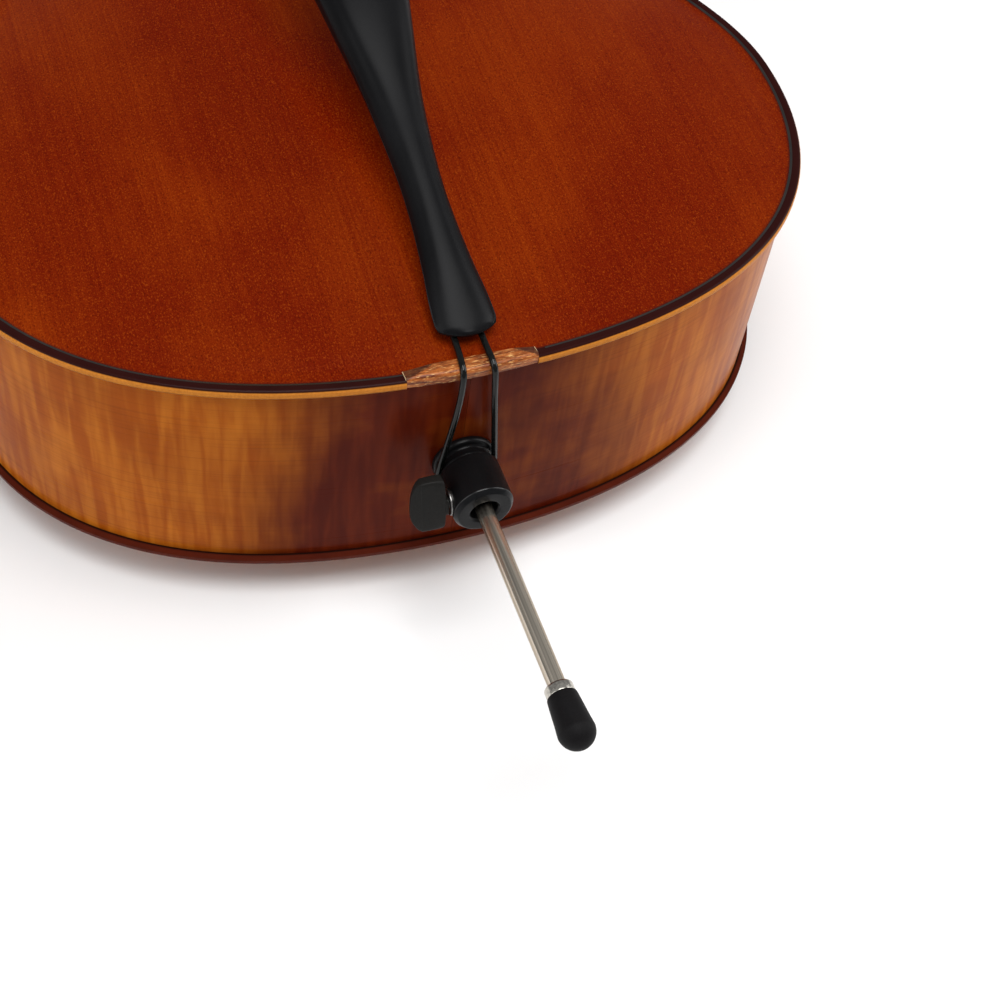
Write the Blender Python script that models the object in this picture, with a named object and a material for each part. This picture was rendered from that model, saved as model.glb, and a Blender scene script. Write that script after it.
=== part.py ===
"""A full-size cello lying on its back, as an assembly of separate solids.

Shapes are drawn in the cello's own axes: X to the treble side, Y from the lower end to the scroll,
Z out of the belly, with Y = 0 at the lower edge of the body and Z = 0 at the plane of the back's edge.
One empty moves all of it so that the back's arch stands on Z = 0 and the origin is under the middle.
"""

import math

import bmesh
import bpy
import numpy as np
from mathutils import Matrix, Vector
from mathutils.geometry import delaunay_2d_cdt

# Body
BODY_LENGTH = 0.755
LOWER_HALF, LOWER_Y = 0.220, 0.168
WAIST_HALF, WAIST_Y = 0.115, 0.405
UPPER_HALF, UPPER_Y = 0.170, 0.628
RIB_HEIGHT = 0.118
EDGE = 0.0045
OVERHANG = 0.0035
RIB_THICK = 0.0016
BELLY_ARCH = 0.024
BACK_ARCH = 0.025
PLATE_THICK = 0.0045
ARCH_INSET = 0.011
GAP = 0.0003
BELLY_TOP = EDGE + RIB_HEIGHT + EDGE
BELLY_UNDER = EDGE + RIB_HEIGHT
PURFLING_INSET = 0.0045
PURFLING_WIDTH = 0.0012
PURFLING_DEPTH = 0.0016
GROOVE_GAP = 0.00035
CORNER_REACH = 0.016
POST_X, POST_Y, POST_RADIUS = 0.033, 0.342, 0.0055
BAR_X, BAR_HALF, BAR_LENGTH, BAR_HEIGHT = -0.034, 0.0055, 0.580, 0.024
BAR_STATIONS = 13
SADDLE_HALF, SADDLE_DEEP = 0.0305, 0.0085
SADDLE_TOP = BELLY_TOP + 0.0018
MORTISE_HALF, MORTISE_Y = 0.0225, 0.745
BUTTON_RADIUS = 0.021

# Setup
BRIDGE_Y = 0.355
BRIDGE_HEIGHT = 0.091
BRIDGE_RADIUS = 0.064
STRINGS = (  # name, place across from the bass side, radius
    ("c", -1.5, 0.00090),
    ("g", -0.5, 0.00075),
    ("d", 0.5, 0.00060),
    ("a", 1.5, 0.00050),
)
BRIDGE_SPACING = 0.0158
NUT_SPACING = 0.0075
TAIL_SPACING = 0.0125

# Neck, head and fingerboard
NUT_Y = 1.035
GLUE_Z = BELLY_TOP + 0.020
NECK_SLOPE = 0.178
BOARD_LENGTH = 0.590
BOARD_HALF_NUT, BOARD_HALF_END = 0.0158, 0.0315
BOARD_RADIUS = 0.065
BOARD_SIDE = 0.0075
HEAD_TILT = math.radians(22)
EYE = (0.158, -0.004)
SPIRAL_START, SPIRAL_DECAY = 0.045, 0.72
SPIRAL_FIRST_ANGLE = math.radians(-143)
SPIRAL_TURNS = 2.5
THROAT_TURN = 0.9
PEG_PLACES = {
    "c": (0.028, -0.018, -1),
    "a": (0.056, -0.017, 1),
    "g": (0.084, -0.015, -1),
    "d": (0.108, -0.012, 1),
}

# Tailpiece, tailgut and fine tuners
TAIL_END_Y, TAIL_END_Z = 0.0205, 0.1325
TAIL_LENGTH = 0.235
TAIL_SLOPE = math.atan(0.330)
TAIL_ARC = 0.062
TAIL_FOOT_SHIFT = 0.0026
GUT_RADIUS = 0.0019
TUNER_PIVOT_S, TUNER_SCREW_S, TUNER_HOOK_S = 0.218, 0.203, 0.230
TUNER_DROP = 0.0078
KNOB_RISE = 0.0036

# Endpin
PIN_X = 0.0009
PIN_Z = EDGE + RIB_HEIGHT / 2
HOUSING_RADIUS = 0.0145
HOUSING_NEAR, HOUSING_FAR = -0.0055, -0.0295
GROOVE_RADIUS = 0.0122
FLANGE_RADIUS = 0.0153
ROD_RADIUS = 0.0040
ROD_IN, ROD_OUT = 0.320, -0.133
FERRULE_NEAR, FERRULE_FAR = -0.1250, -0.1296
FERRULE_RADIUS = 0.0065
TIP_END = -0.1555
CLAMP_Y = -0.0198
SPOT_FACE = 0.0126
CLAMP_TILT = math.radians(-14)

ORIGIN_Y = 0.5285


# ---------------------------------------------------------------- helpers


def clear_scene():
    for obj in list(bpy.data.objects):
        bpy.data.objects.remove(obj)


def material(name, colour, roughness, metallic=0.0):
    made = bpy.data.materials.get(name)
    if made is None:
        made = bpy.data.materials.new(name)
        made.use_nodes = True
        shader = made.node_tree.nodes["Principled BSDF"]
        shader.inputs["Base Color"].default_value = (*colour, 1.0)
        shader.inputs["Roughness"].default_value = roughness
        shader.inputs["Metallic"].default_value = metallic
    return made


def spruce():
    return material("spruce_belly", (0.36, 0.09, 0.015), 0.35)


def maple():
    return material("flamed_maple", (0.33, 0.12, 0.03), 0.32)


def inner_wood():
    return material("bare_wood", (0.72, 0.54, 0.33), 0.7)


def ebony():
    return material("ebony", (0.018, 0.016, 0.015), 0.38)


def composite():
    return material("black_composite", (0.035, 0.035, 0.038), 0.5)


def steel():
    return material("steel", (0.55, 0.52, 0.48), 0.28, 1.0)


def put(name, mesh, stuff):
    """Adds a mesh as a named object of the cello."""
    mesh.materials.append(stuff)
    obj = bpy.data.objects.new(name, mesh)
    bpy.context.scene.collection.objects.link(obj)
    obj.parent = bpy.data.objects["cello"]
    return obj


def mesh_of(name, points, faces, smooth=True):
    mesh = bpy.data.meshes.new(name)
    mesh.from_pydata([tuple(map(float, p)) for p in points], [], faces)
    bm = bmesh.new()
    bm.from_mesh(mesh)
    bmesh.ops.recalc_face_normals(bm, faces=bm.faces)
    bm.to_mesh(mesh)
    bm.free()
    if smooth:
        mesh.shade_smooth()
        mesh.set_sharp_from_angle(angle=math.radians(35))
    return mesh


def helper(name, mesh):
    """A hidden cutter or joiner for a Boolean."""
    obj = put(name, mesh, inner_wood())
    obj.hide_render = True
    obj.display_type = "WIRE"
    return obj


def boolean(obj, other, operation="DIFFERENCE"):
    modifier = obj.modifiers.new(other.name, "BOOLEAN")
    modifier.operation = operation
    modifier.object = other


def loft(name, rings, smooth=True):
    """Closed solid through rings of points that all have the same count, with flat caps."""
    count = len(rings[0])
    points = [p for ring in rings for p in ring]
    faces = []
    for k in range(len(rings) - 1):
        for j in range(count):
            a, b = k * count + j, k * count + (j + 1) % count
            faces.append((a, b, b + count, a + count))
    faces.append(tuple(range(count))[::-1])
    faces.append(tuple((len(rings) - 1) * count + j for j in range(count)))
    return mesh_of(name, points, faces, smooth)


def turned(name, profile, sides=24, bore=None):
    """Solid of revolution about local Z. The profile is (radius, z) from one end to the other.

    A bore is a second profile, the wall of a through hole; without one the ends are flat discs.
    """
    angles = [2 * math.pi * k / sides for k in range(sides)]
    line = list(profile) + (list(bore)[::-1] if bore else [])
    points = [(r * math.cos(a), r * math.sin(a), z) for r, z in line for a in angles]
    faces = []
    last = len(line) if bore else len(line) - 1
    for k in range(last):
        for j in range(sides):
            a, b = k * sides + j, k * sides + (j + 1) % sides
            up = (k + 1) % len(line) * sides
            faces.append((a, b, up + (j + 1) % sides, up + j))
    if not bore:
        faces.append(tuple(range(sides)))
        faces.append(tuple((len(line) - 1) * sides + j for j in range(sides)))
    return mesh_of(name, points, faces)


def aim(obj, place, direction):
    """Puts a turned piece's local origin at a place, with its local Z along a direction."""
    turn = Vector(direction).to_track_quat("Z", "Y").to_matrix().to_4x4()
    obj.matrix_local = Matrix.Translation(Vector(place)) @ turn
    return obj


def prism(name, outline, low, high):
    """Upright solid over a closed XY outline."""
    rings = [[(x, y, z) for x, y in outline] for z in (low, high)]
    return loft(name, rings, smooth=False)


def tube(name, route, radius, stuff):
    """A round cord or string along a list of points."""
    curve = bpy.data.curves.new(name, "CURVE")
    curve.dimensions = "3D"
    curve.bevel_depth = radius
    curve.bevel_resolution = 2
    curve.use_fill_caps = True
    spline = curve.splines.new("POLY")
    spline.points.add(len(route) - 1)
    for point, place in zip(spline.points, route):
        point.co = (*place, 1.0)
    curve.materials.append(stuff)
    obj = bpy.data.objects.new(name, curve)
    bpy.context.scene.collection.objects.link(obj)
    obj.parent = bpy.data.objects["cello"]
    return obj


def bezier(p0, p1, p2, p3, steps):
    t = np.linspace(0, 1, steps + 1)[:, None]
    p0, p1, p2, p3 = (np.array(p, float) for p in (p0, p1, p2, p3))
    return (1 - t) ** 3 * p0 + 3 * (1 - t) ** 2 * t * p1 + 3 * (1 - t) * t**2 * p2 + t**3 * p3


def smooth_route(knots, per_span):
    """A Catmull-Rom curve through the knots."""
    knots = [np.array(k, float) for k in knots]
    knots = [2 * knots[0] - knots[1], *knots, 2 * knots[-1] - knots[-2]]
    route = []
    for a, b, c, d in zip(knots, knots[1:], knots[2:], knots[3:]):
        for k in range(per_span):
            t = k / per_span
            route.append(
                0.5 * (2 * b + (c - a) * t + (2 * a - 5 * b + 4 * c - d) * t**2 + (3 * b - a - 3 * c + d) * t**3)
            )
    return route + [knots[-2]]


def mirrored(curve):
    """The other side of a curve, running back the other way."""
    flipped = np.array(curve)[::-1].copy()
    flipped[:, 0] *= -1
    return flipped


def inside(points, polygon):
    """Which points lie inside a closed polygon."""
    points, polygon = np.asarray(points, float), np.asarray(polygon, float)
    found = np.zeros(len(points), bool)
    for a, b in zip(polygon, np.roll(polygon, -1, axis=0)):
        spans = (a[1] > points[:, 1]) != (b[1] > points[:, 1])
        with np.errstate(divide="ignore", invalid="ignore"):
            crossing = (b[0] - a[0]) * (points[:, 1] - a[1]) / (b[1] - a[1]) + a[0]
        found ^= spans & (points[:, 0] < crossing)
    return found


def distance_to(points, polygon):
    """Distance of each point from a closed polygon's line."""
    points, start = np.asarray(points, float), np.asarray(polygon, float)
    along = np.roll(start, -1, axis=0) - start
    away = points[:, None, :] - start[None]
    share = np.clip((away * along).sum(2) / np.maximum((along**2).sum(1), 1e-18), 0, 1)
    return np.linalg.norm(away - share[..., None] * along, axis=2).min(axis=1)


# ---------------------------------------------------------------- body outline


def half_arcs():
    """The right side's lower, middle and upper arcs, from the bottom to the top."""
    lower = np.vstack(
        [
            bezier((0, 0), (0.135, 0), (LOWER_HALF, LOWER_Y - 0.112), (LOWER_HALF, LOWER_Y), 11),
            bezier((LOWER_HALF, LOWER_Y), (LOWER_HALF, 0.228), (0.171, 0.270), (0.188, 0.304), 7)[1:],
        ]
    )
    middle = np.vstack(
        [
            bezier((0.184, 0.313), (0.146, 0.314), (WAIST_HALF, 0.345), (WAIST_HALF, WAIST_Y), 6),
            bezier((WAIST_HALF, WAIST_Y), (WAIST_HALF, 0.452), (0.127, 0.487), (0.152, 0.490), 5)[1:],
        ]
    )
    upper = np.vstack(
        [
            bezier((0.155, 0.499), (0.141, 0.528), (UPPER_HALF, 0.582), (UPPER_HALF, UPPER_Y), 6),
            bezier((UPPER_HALF, UPPER_Y), (UPPER_HALF, 0.706), (0.096, BODY_LENGTH), (0, BODY_LENGTH), 9)[1:],
        ]
    )
    return lower, middle, upper


def inset(curve, amount):
    """A right-side arc moved into the body by an amount."""
    along = np.gradient(curve, axis=0)
    along /= np.linalg.norm(along, axis=1)[:, None]
    return curve + amount * np.column_stack([-along[:, 1], along[:, 0]])


def crossing(first, second):
    """(index in first, index in second, point) where two polylines cross, or None."""
    for i in range(len(first) - 1):
        for j in range(len(second) - 1):
            p, r = first[i], first[i + 1] - first[i]
            q, s = second[j], second[j + 1] - second[j]
            cross = r[0] * s[1] - r[1] * s[0]
            if abs(cross) < 1e-15:
                continue
            t = ((q[0] - p[0]) * s[1] - (q[1] - p[1]) * s[0]) / cross
            u = ((q[0] - p[0]) * r[1] - (q[1] - p[1]) * r[0]) / cross
            if 0 <= t <= 1 and 0 <= u <= 1:
                return i, j, p + t * r
    return None


def reaching(arc, at_start, at_end):
    """An arc with a straight run added at its corner ends, so that neighbours meet in a point."""
    parts = [arc]
    if at_start:
        away = arc[0] - arc[1]
        parts.insert(0, arc[0] + CORNER_REACH * away / np.linalg.norm(away))
    if at_end:
        away = arc[-1] - arc[-2]
        parts.append(arc[-1] + CORNER_REACH * away / np.linalg.norm(away))
    return np.vstack(parts)


def long_arcs(amount):
    """The three right-side arcs moved inwards, each running on past its corners."""
    lower, middle, upper = half_arcs()
    return (
        inset(reaching(lower, False, True), amount),
        inset(reaching(middle, True, True), amount),
        inset(reaching(upper, True, False), amount),
    )


def before(arc, other):
    i, _, point = crossing(arc, other)
    return np.vstack([arc[: i + 1], point])


def after(arc, other):
    i, _, point = crossing(arc, other)
    return np.vstack([point, arc[i + 1 :]])


def half_inset(amount):
    """The right side moved inwards by an amount: the arcs end in points at the corners."""
    if amount == 0:
        return half_arcs()
    lower, middle, upper = long_arcs(amount)
    return before(lower, middle), before(after(middle, lower), upper), after(upper, middle)


def loop_at(amount):
    """The whole outline moved inwards by an amount, as one closed polygon."""
    right = np.vstack(half_inset(amount))
    right[0, 0] = right[-1, 0] = 0.0
    loop = np.vstack([right, mirrored(right)[1:-1]])
    keep = np.linalg.norm(loop - np.roll(loop, 1, axis=0), axis=1) > 1e-5
    return loop[keep]


# ---------------------------------------------------------------- arching


def arch_edge():
    """Half widths of the arched area, with the corners left out, as (y, half width) columns."""
    i = ARCH_INSET
    low, waist, high = LOWER_HALF - i, WAIST_HALF - i, UPPER_HALF - i
    curve = np.vstack(
        [
            bezier((0, i), (0.128, i), (low, LOWER_Y - 0.108), (low, LOWER_Y), 24),
            bezier((low, LOWER_Y), (low, 0.268), (waist, 0.318), (waist, WAIST_Y), 24),
            bezier((waist, WAIST_Y), (waist, 0.475), (high, 0.540), (high, UPPER_Y), 24),
            bezier((high, UPPER_Y), (high, 0.700), (0.092, BODY_LENGTH - i), (0, BODY_LENGTH - i), 24),
        ]
    )
    return curve[:, 1], curve[:, 0]


def arch(x, y):
    """Height of the arching at a point, from 0 at the edge to 1 at the crown."""
    stations, halves = arch_edge()
    x, y = np.asarray(x, float), np.asarray(y, float)
    half = np.maximum(np.interp(y, stations, halves, left=0.0, right=0.0), 1e-6)
    across = np.clip(1 - (x / half) ** 2, 0, 1)
    t = np.clip((y - ARCH_INSET) / (BODY_LENGTH - 2 * ARCH_INSET), 0, 1)
    along = np.clip(1 - np.abs(2 * t - 1) ** 2.6, 0, 1)
    rise = across * along
    return 0.62 * rise + 0.38 * rise**2 * (3 - 2 * rise)


def belly_top(x, y):
    return BELLY_TOP + BELLY_ARCH * arch(x, y)


def belly_under(x, y):
    return np.maximum(BELLY_UNDER, belly_top(x, y) - PLATE_THICK)


def back_under(x, y):
    """The back's outer face, which looks down."""
    return -BACK_ARCH * arch(x, y)


def back_inner(x, y):
    return np.minimum(EDGE, back_under(x, y) + PLATE_THICK)


# ---------------------------------------------------------------- plates


def slab(name, outer, holes, fill, high, low, groove=None):
    """Closed solid between two height functions over a flat region.

    The groove is (outer loop, inner loop, depth, from_below): a channel sunk in one face.
    """
    loops = [outer, *holes] + (list(groove[:2]) if groove else [])
    flat, edges = [], []
    for loop in loops:
        start = len(flat)
        flat += [Vector(map(float, p)) for p in loop]
        edges += [(start + k, start + (k + 1) % len(loop)) for k in range(len(loop))]
    flat += [Vector(map(float, p)) for p in fill]
    flat, _, triangles, *_ = delaunay_2d_cdt(flat, edges, [], 0, 1e-6)
    flat = np.array([tuple(p) for p in flat])
    triangles = np.array([tuple(t) for t in triangles])
    middle = flat[triangles].mean(axis=1)
    keep = inside(middle, outer)
    for hole in holes:
        keep &= ~inside(middle, hole)
    triangles, middle = triangles[keep], middle[keep]
    sunk = np.zeros(len(triangles), bool)
    if groove:
        sunk = inside(middle, groove[0]) & ~inside(middle, groove[1])
    levels = [low(flat[:, 0], flat[:, 1]), high(flat[:, 0], flat[:, 1])]
    from_below = bool(groove) and groove[3]
    if groove:
        levels.append(levels[0] + groove[2] if from_below else levels[1] - groove[2])
    points = [(x, y, z) for level in levels for (x, y), z in zip(flat, level)]
    n = len(flat)
    owner, faces = {}, []

    def level_of(is_sunk, top):
        return 2 * n if is_sunk and top != from_below else (n if top else 0)

    for (a, b, c), is_sunk in zip(triangles.tolist(), sunk.tolist()):
        up, down = level_of(is_sunk, True), level_of(is_sunk, False)
        faces.append((a + up, b + up, c + up))
        faces.append((c + down, b + down, a + down))
        for edge in ((a, b), (b, c), (c, a)):
            owner[edge] = is_sunk
    for (a, b), is_sunk in owner.items():
        if (b, a) not in owner:
            up, down = level_of(is_sunk, True), level_of(is_sunk, False)
            faces.append((a + down, b + down, b + up, a + up))
        elif is_sunk and not owner[(b, a)]:
            base = 0 if from_below else n
            faces.append((a + base, b + base, b + 2 * n, a + 2 * n))
    used = sorted({i for face in faces for i in face})
    number = {i: k for k, i in enumerate(used)}
    return mesh_of(name, [points[i] for i in used], [tuple(number[i] for i in face) for face in faces])


def arch_points(outer, spacing, clearance, avoid=()):
    """Staggered points over a plate, kept away from its edge and its holes."""
    found = []
    rows = int(BODY_LENGTH / (spacing * 0.87))
    for k in range(1, rows):
        y = BODY_LENGTH * k / rows
        shift = 0.5 * spacing * (k % 2)
        found += [(x + shift, y) for x in np.arange(-10 * spacing, 10 * spacing, spacing)]
    found = np.array(found)
    found = found[inside(found, outer) & (distance_to(found, outer) > clearance)]
    for loop in avoid:
        found = found[~inside(found, loop) & (distance_to(found, loop) > 0.25 * spacing)]
    return found


def f_hole(side):
    """The two eyes and the stem of an f-hole, as polygons. The side is 1 for treble and -1 for bass."""
    upper, lower = np.array((0.0545, 0.4150)), np.array((0.0900, 0.2960))
    line = np.array(
        smooth_route(
            [(0.0560, 0.4235), (0.0640, 0.4300), (0.0735, 0.4225), (0.0755, 0.4020), (0.0725, 0.3550),
             (0.0690, 0.3080), (0.0715, 0.2890), (0.0810, 0.2815), (0.0890, 0.2870)],
            3,
        )
    )
    along = np.gradient(line, axis=0)
    along /= np.linalg.norm(along, axis=1)[:, None]
    share = np.linspace(0, 1, len(line))
    half = 0.0012 + 0.0034 * np.sin(math.pi * share) ** 1.5
    normal = np.column_stack([-along[:, 1], along[:, 0]])
    stem = np.vstack([line + half[:, None] * normal, (line - half[:, None] * normal)[::-1]])
    turns = np.linspace(0, 2 * math.pi, 13)[:-1]
    circle = np.column_stack([np.cos(turns), np.sin(turns)])
    loops = [stem, upper + 0.0078 * circle, lower + 0.0100 * circle]
    return [loop * (side, 1) for loop in loops]


def belly_outline():
    """The outline with a step for the saddle and another for the neck."""
    loop = loop_at(0)
    right = loop[(loop[:, 0] > 0)]
    right = right[~((right[:, 0] < SADDLE_HALF + 0.004) & (right[:, 1] < 0.1))]
    right = right[~((right[:, 0] < MORTISE_HALF + 0.004) & (right[:, 1] > 0.7))]
    edge_y = float(np.interp(SADDLE_HALF, loop[:8, 0], loop[:8, 1]))
    start = [(SADDLE_HALF + GAP, SADDLE_DEEP), (SADDLE_HALF + GAP, edge_y)]
    end = [(MORTISE_HALF + GAP, BODY_LENGTH - 0.0012), (MORTISE_HALF + GAP, MORTISE_Y - GAP)]
    right = np.vstack([start, right, end])
    return np.vstack([right, mirrored(right)])


def back_outline():
    """The outline with the round button that the neck's heel stands on."""
    loop = loop_at(0)
    right = loop[loop[:, 0] > 0]
    right = right[~((right[:, 0] < BUTTON_RADIUS + 0.004) & (right[:, 1] > 0.7))]
    turns = np.linspace(math.radians(-5), math.pi / 2, 6)
    button = np.column_stack([BUTTON_RADIUS * np.cos(turns), BODY_LENGTH + 0.0205 * np.sin(turns)])
    right = np.vstack([[(0, 0)], right, button])
    right[-1, 0] = 0.0
    return np.vstack([right, mirrored(right)[1:-1]])


def plates():
    groove = [loop_at(PURFLING_INSET - GROOVE_GAP), loop_at(PURFLING_INSET + PURFLING_WIDTH + GROOVE_GAP)]
    belly_loop, back_loop = belly_outline(), back_outline()
    step = SADDLE_DEEP + 0.0030
    belly_groove = [gate_loop(loop, step + k * 0.0018) for k, loop in enumerate(groove)]
    holes = f_hole(1) + f_hole(-1)
    for loop, name in ((belly_loop, "belly"), (back_loop, "back")):
        fill = arch_points(loop, 0.052, 0.020, holes if name == "belly" else ())
        fill = np.vstack([fill, around_post(0.0085, 8), around_post(0.0, 1)])
        if name == "belly":
            fill = np.vstack([fill, bar_edges()])
            groove_cut = (*belly_groove, PURFLING_DEPTH, False)
            mesh = slab(name, loop, holes, fill, belly_top, belly_under, groove_cut)
            put(name, mesh, spruce())
        else:
            mesh = slab(name, loop, [], fill, back_inner, back_under, (*groove, PURFLING_DEPTH, True))
            put(name, mesh, maple())
    purfling("purfling_belly", True, step)
    purfling("purfling_back", False, 0)


def around_post(radius, count):
    turns = np.linspace(0, 2 * math.pi, count + 1)[:-1]
    return np.column_stack([POST_X + radius * np.cos(turns), POST_Y + radius * np.sin(turns)])


def gate_loop(loop, lowest_y):
    """A purfling loop lifted over the saddle and kept below the neck's mortise."""
    made = np.array(loop)
    near_saddle = (np.abs(made[:, 0]) < SADDLE_HALF + 0.012) & (made[:, 1] < 0.1)
    made[near_saddle, 1] = np.maximum(made[near_saddle, 1], lowest_y)
    near_neck = (np.abs(made[:, 0]) < MORTISE_HALF + 0.012) & (made[:, 1] > 0.7)
    highest_y = MORTISE_Y - (lowest_y - SADDLE_DEEP)
    made[near_neck, 1] = np.minimum(made[near_neck, 1], highest_y)
    return made


def purfling(name, on_belly, step):
    """The inlaid strip: a closed ring that fills the plate's groove."""
    outer, inner = loop_at(PURFLING_INSET), loop_at(PURFLING_INSET + PURFLING_WIDTH)
    if on_belly:
        outer = gate_loop(outer, step + GAP)
        inner = gate_loop(inner, step + 0.0018 - GAP)
    if on_belly:
        high = belly_top
        low = lambda x, y: belly_top(x, y) - PURFLING_DEPTH + GAP
    else:
        low = back_under
        high = lambda x, y: back_under(x, y) + PURFLING_DEPTH - GAP
    put(name, slab(name, outer, [inner], [], high, low), ebony())


# ---------------------------------------------------------------- ribs, linings, blocks


def upright(x, low, high):
    return np.array([(x, low), (x, high)])


def rib_outlines():
    """The lower, middle and upper ribs in plan: the middle one is held between the other two's ends."""
    seam = upright(0.5 * GAP, -0.05, 0.05)
    mortise = upright(MORTISE_HALF + GAP, 0.70, 0.80)
    faces = [long_arcs(OVERHANG), long_arcs(OVERHANG + RIB_THICK)]
    room = long_arcs(OVERHANG + RIB_THICK + GAP)
    front = faces[0][1]
    lower = [after(before(face[0], front), seam) for face in faces]
    middle = [before(after(face[1], room[0]), room[2]) for face in faces]
    upper = [before(after(face[2], front), mortise) for face in faces]
    both = {"lower": lower, "middle": middle, "upper": upper}
    return {bout: np.vstack([outer, inner[::-1]]) for bout, (outer, inner) in both.items()}


def ribs():
    low, high = EDGE + GAP, BELLY_UNDER - GAP
    hole = turned("plug_hole", [(0.0140, -0.03), (0.0140, 0.06)], 20)
    hole = aim(helper("plug_hole", hole), (PIN_X, 0, PIN_Z), (0, 1, 0))
    for bout, outline in rib_outlines().items():
        for side, word in ((-1, "bass"), (1, "treble")):
            name = f"rib_{bout}_{word}"
            rib = put(name, prism(name, outline * (side, 1), low, high), maple())
            if bout == "lower":
                boolean(rib, hole)


LINING_INSET = OVERHANG + RIB_THICK + GAP
LINING_THICK, LINING_HEIGHT = 0.0022, 0.016


def ring_mesh(name, outer, inner, low, high):
    return slab(name, outer, [inner], [], lambda x, y: high + 0 * x, lambda x, y: low + 0 * x)


def linings():
    outer, inner = loop_at(LINING_INSET), loop_at(LINING_INSET + LINING_THICK)
    low, high = EDGE + GAP, BELLY_UNDER - GAP
    half = MORTISE_HALF + GAP
    room = [(-half, MORTISE_Y - 0.02), (half, MORTISE_Y - 0.02), (half, BODY_LENGTH), (-half, BODY_LENGTH)]
    mortise = helper("mortise", prism("mortise", room, -0.01, BELLY_TOP))
    for name, bottom in (("lining_back", low), ("lining_belly", high - LINING_HEIGHT)):
        lining = put(name, ring_mesh(name, outer, inner, bottom, bottom + LINING_HEIGHT), inner_wood())
        boolean(lining, mortise)


def lining_cutter(name, bottom):
    """Room for a lining where it is let into the blocks."""
    outer, inner = loop_at(LINING_INSET - 0.001), loop_at(LINING_INSET + LINING_THICK + GAP)
    return helper(name, ring_mesh(name, outer, inner, bottom, bottom + LINING_HEIGHT + 2 * GAP))


def blocks():
    low, high = EDGE + GAP, BELLY_UNDER - GAP
    room = [
        lining_cutter("lining_room_back", low - GAP),
        lining_cutter("lining_room_belly", high - LINING_HEIGHT - GAP),
    ]
    lower, middle, upper = (arc for arc in half_inset(LINING_INSET))
    near_pin = lower[lower[:, 0] < 0.040]
    end = np.vstack([mirrored(near_pin)[:-1], near_pin, [(0.030, 0.036), (-0.030, 0.036)]])
    near_neck = upper[(upper[:, 0] < 0.048) & (upper[:, 0] > MORTISE_HALF + 0.002)]
    beside = MORTISE_HALF + GAP
    mortise = [(beside, BODY_LENGTH - 0.0075), (beside, MORTISE_Y - GAP)]
    half = np.vstack([[(0.040, 0.714)], near_neck, mortise])
    top = np.vstack([half, mirrored(half)])
    hole = bpy.data.objects["plug_hole"]
    end_block = put("end_block", prism("end_block", end, low, high), inner_wood())
    boolean(end_block, hole)
    made = [end_block, put("top_block", prism("top_block", top, low, high), inner_wood())]
    tail, head = lower[lower[:, 1] > 0.262], middle[: int(np.argmax(middle[:, 1] > 0.335))]
    lower_corner = np.vstack([tail, head])
    tail, head = middle[middle[:, 1] > 0.468], upper[upper[:, 1] < 0.545]
    upper_corner = np.vstack([tail, head])
    for name, corner in (("lower", lower_corner), ("upper", upper_corner)):
        for side, word in ((-1, "bass"), (1, "treble")):
            outline = corner * (side, 1)
            node = f"corner_block_{name}_{word}"
            made.append(put(node, prism(node, outline, low, high), inner_wood()))
    for block in made:
        for cutter in room:
            boolean(block, cutter)


def bar_y(share):
    return BRIDGE_Y + 0.012 + 0.5 * BAR_LENGTH * share


def bar_edges():
    """Points on the belly along both edges of the bass bar."""
    shares = np.linspace(-1, 1, BAR_STATIONS)
    return np.array([(BAR_X + side * BAR_HALF, bar_y(share)) for share in shares for side in (-1, 1)])


def bass_bar():
    """A bar fitted to the inside of the belly under the bridge's bass foot."""
    rings = []
    left, right = BAR_X - BAR_HALF, BAR_X + BAR_HALF
    for share in np.linspace(-1, 1, BAR_STATIONS):
        y = bar_y(share)
        tops = [float(belly_under(x, y)) - 3 * GAP for x in (left, right)]
        deep = 0.006 + (BAR_HEIGHT - 0.006) * (1 - abs(share) ** 2.2)
        bottom = min(tops) - deep
        rings.append([(left, y, tops[0]), (right, y, tops[1]), (right, y, bottom), (left, y, bottom)])
    put("bass_bar", loft("bass_bar", rings, smooth=False), inner_wood())


def soundpost():
    rim = around_post(POST_RADIUS, 16)
    top = float(belly_under(rim[:, 0], rim[:, 1]).min()) - 2 * GAP
    foot = float(back_inner(rim[:, 0], rim[:, 1]).max()) + 2 * GAP
    post = turned("soundpost", [(POST_RADIUS, 0), (POST_RADIUS, top - foot)], 16)
    aim(put("soundpost", post, inner_wood()), (POST_X, POST_Y, foot), (0, 0, 1))


# ---------------------------------------------------------------- neck and head


def glue_z(y):
    """Height of the face between neck and fingerboard."""
    return GLUE_Z + NECK_SLOPE * (BODY_LENGTH - y)


def board_half(y):
    return BOARD_HALF_NUT + (BOARD_HALF_END - BOARD_HALF_NUT) * (NUT_Y - y) / BOARD_LENGTH


def head_point(u, v):
    """A place on the head's side view, along the pegbox from the nut and out of its open face, as (y, z)."""
    c, s = math.cos(HEAD_TILT), math.sin(HEAD_TILT)
    return NUT_Y + u * c - v * -s, glue_z(NUT_Y) - u * s + v * c


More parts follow.
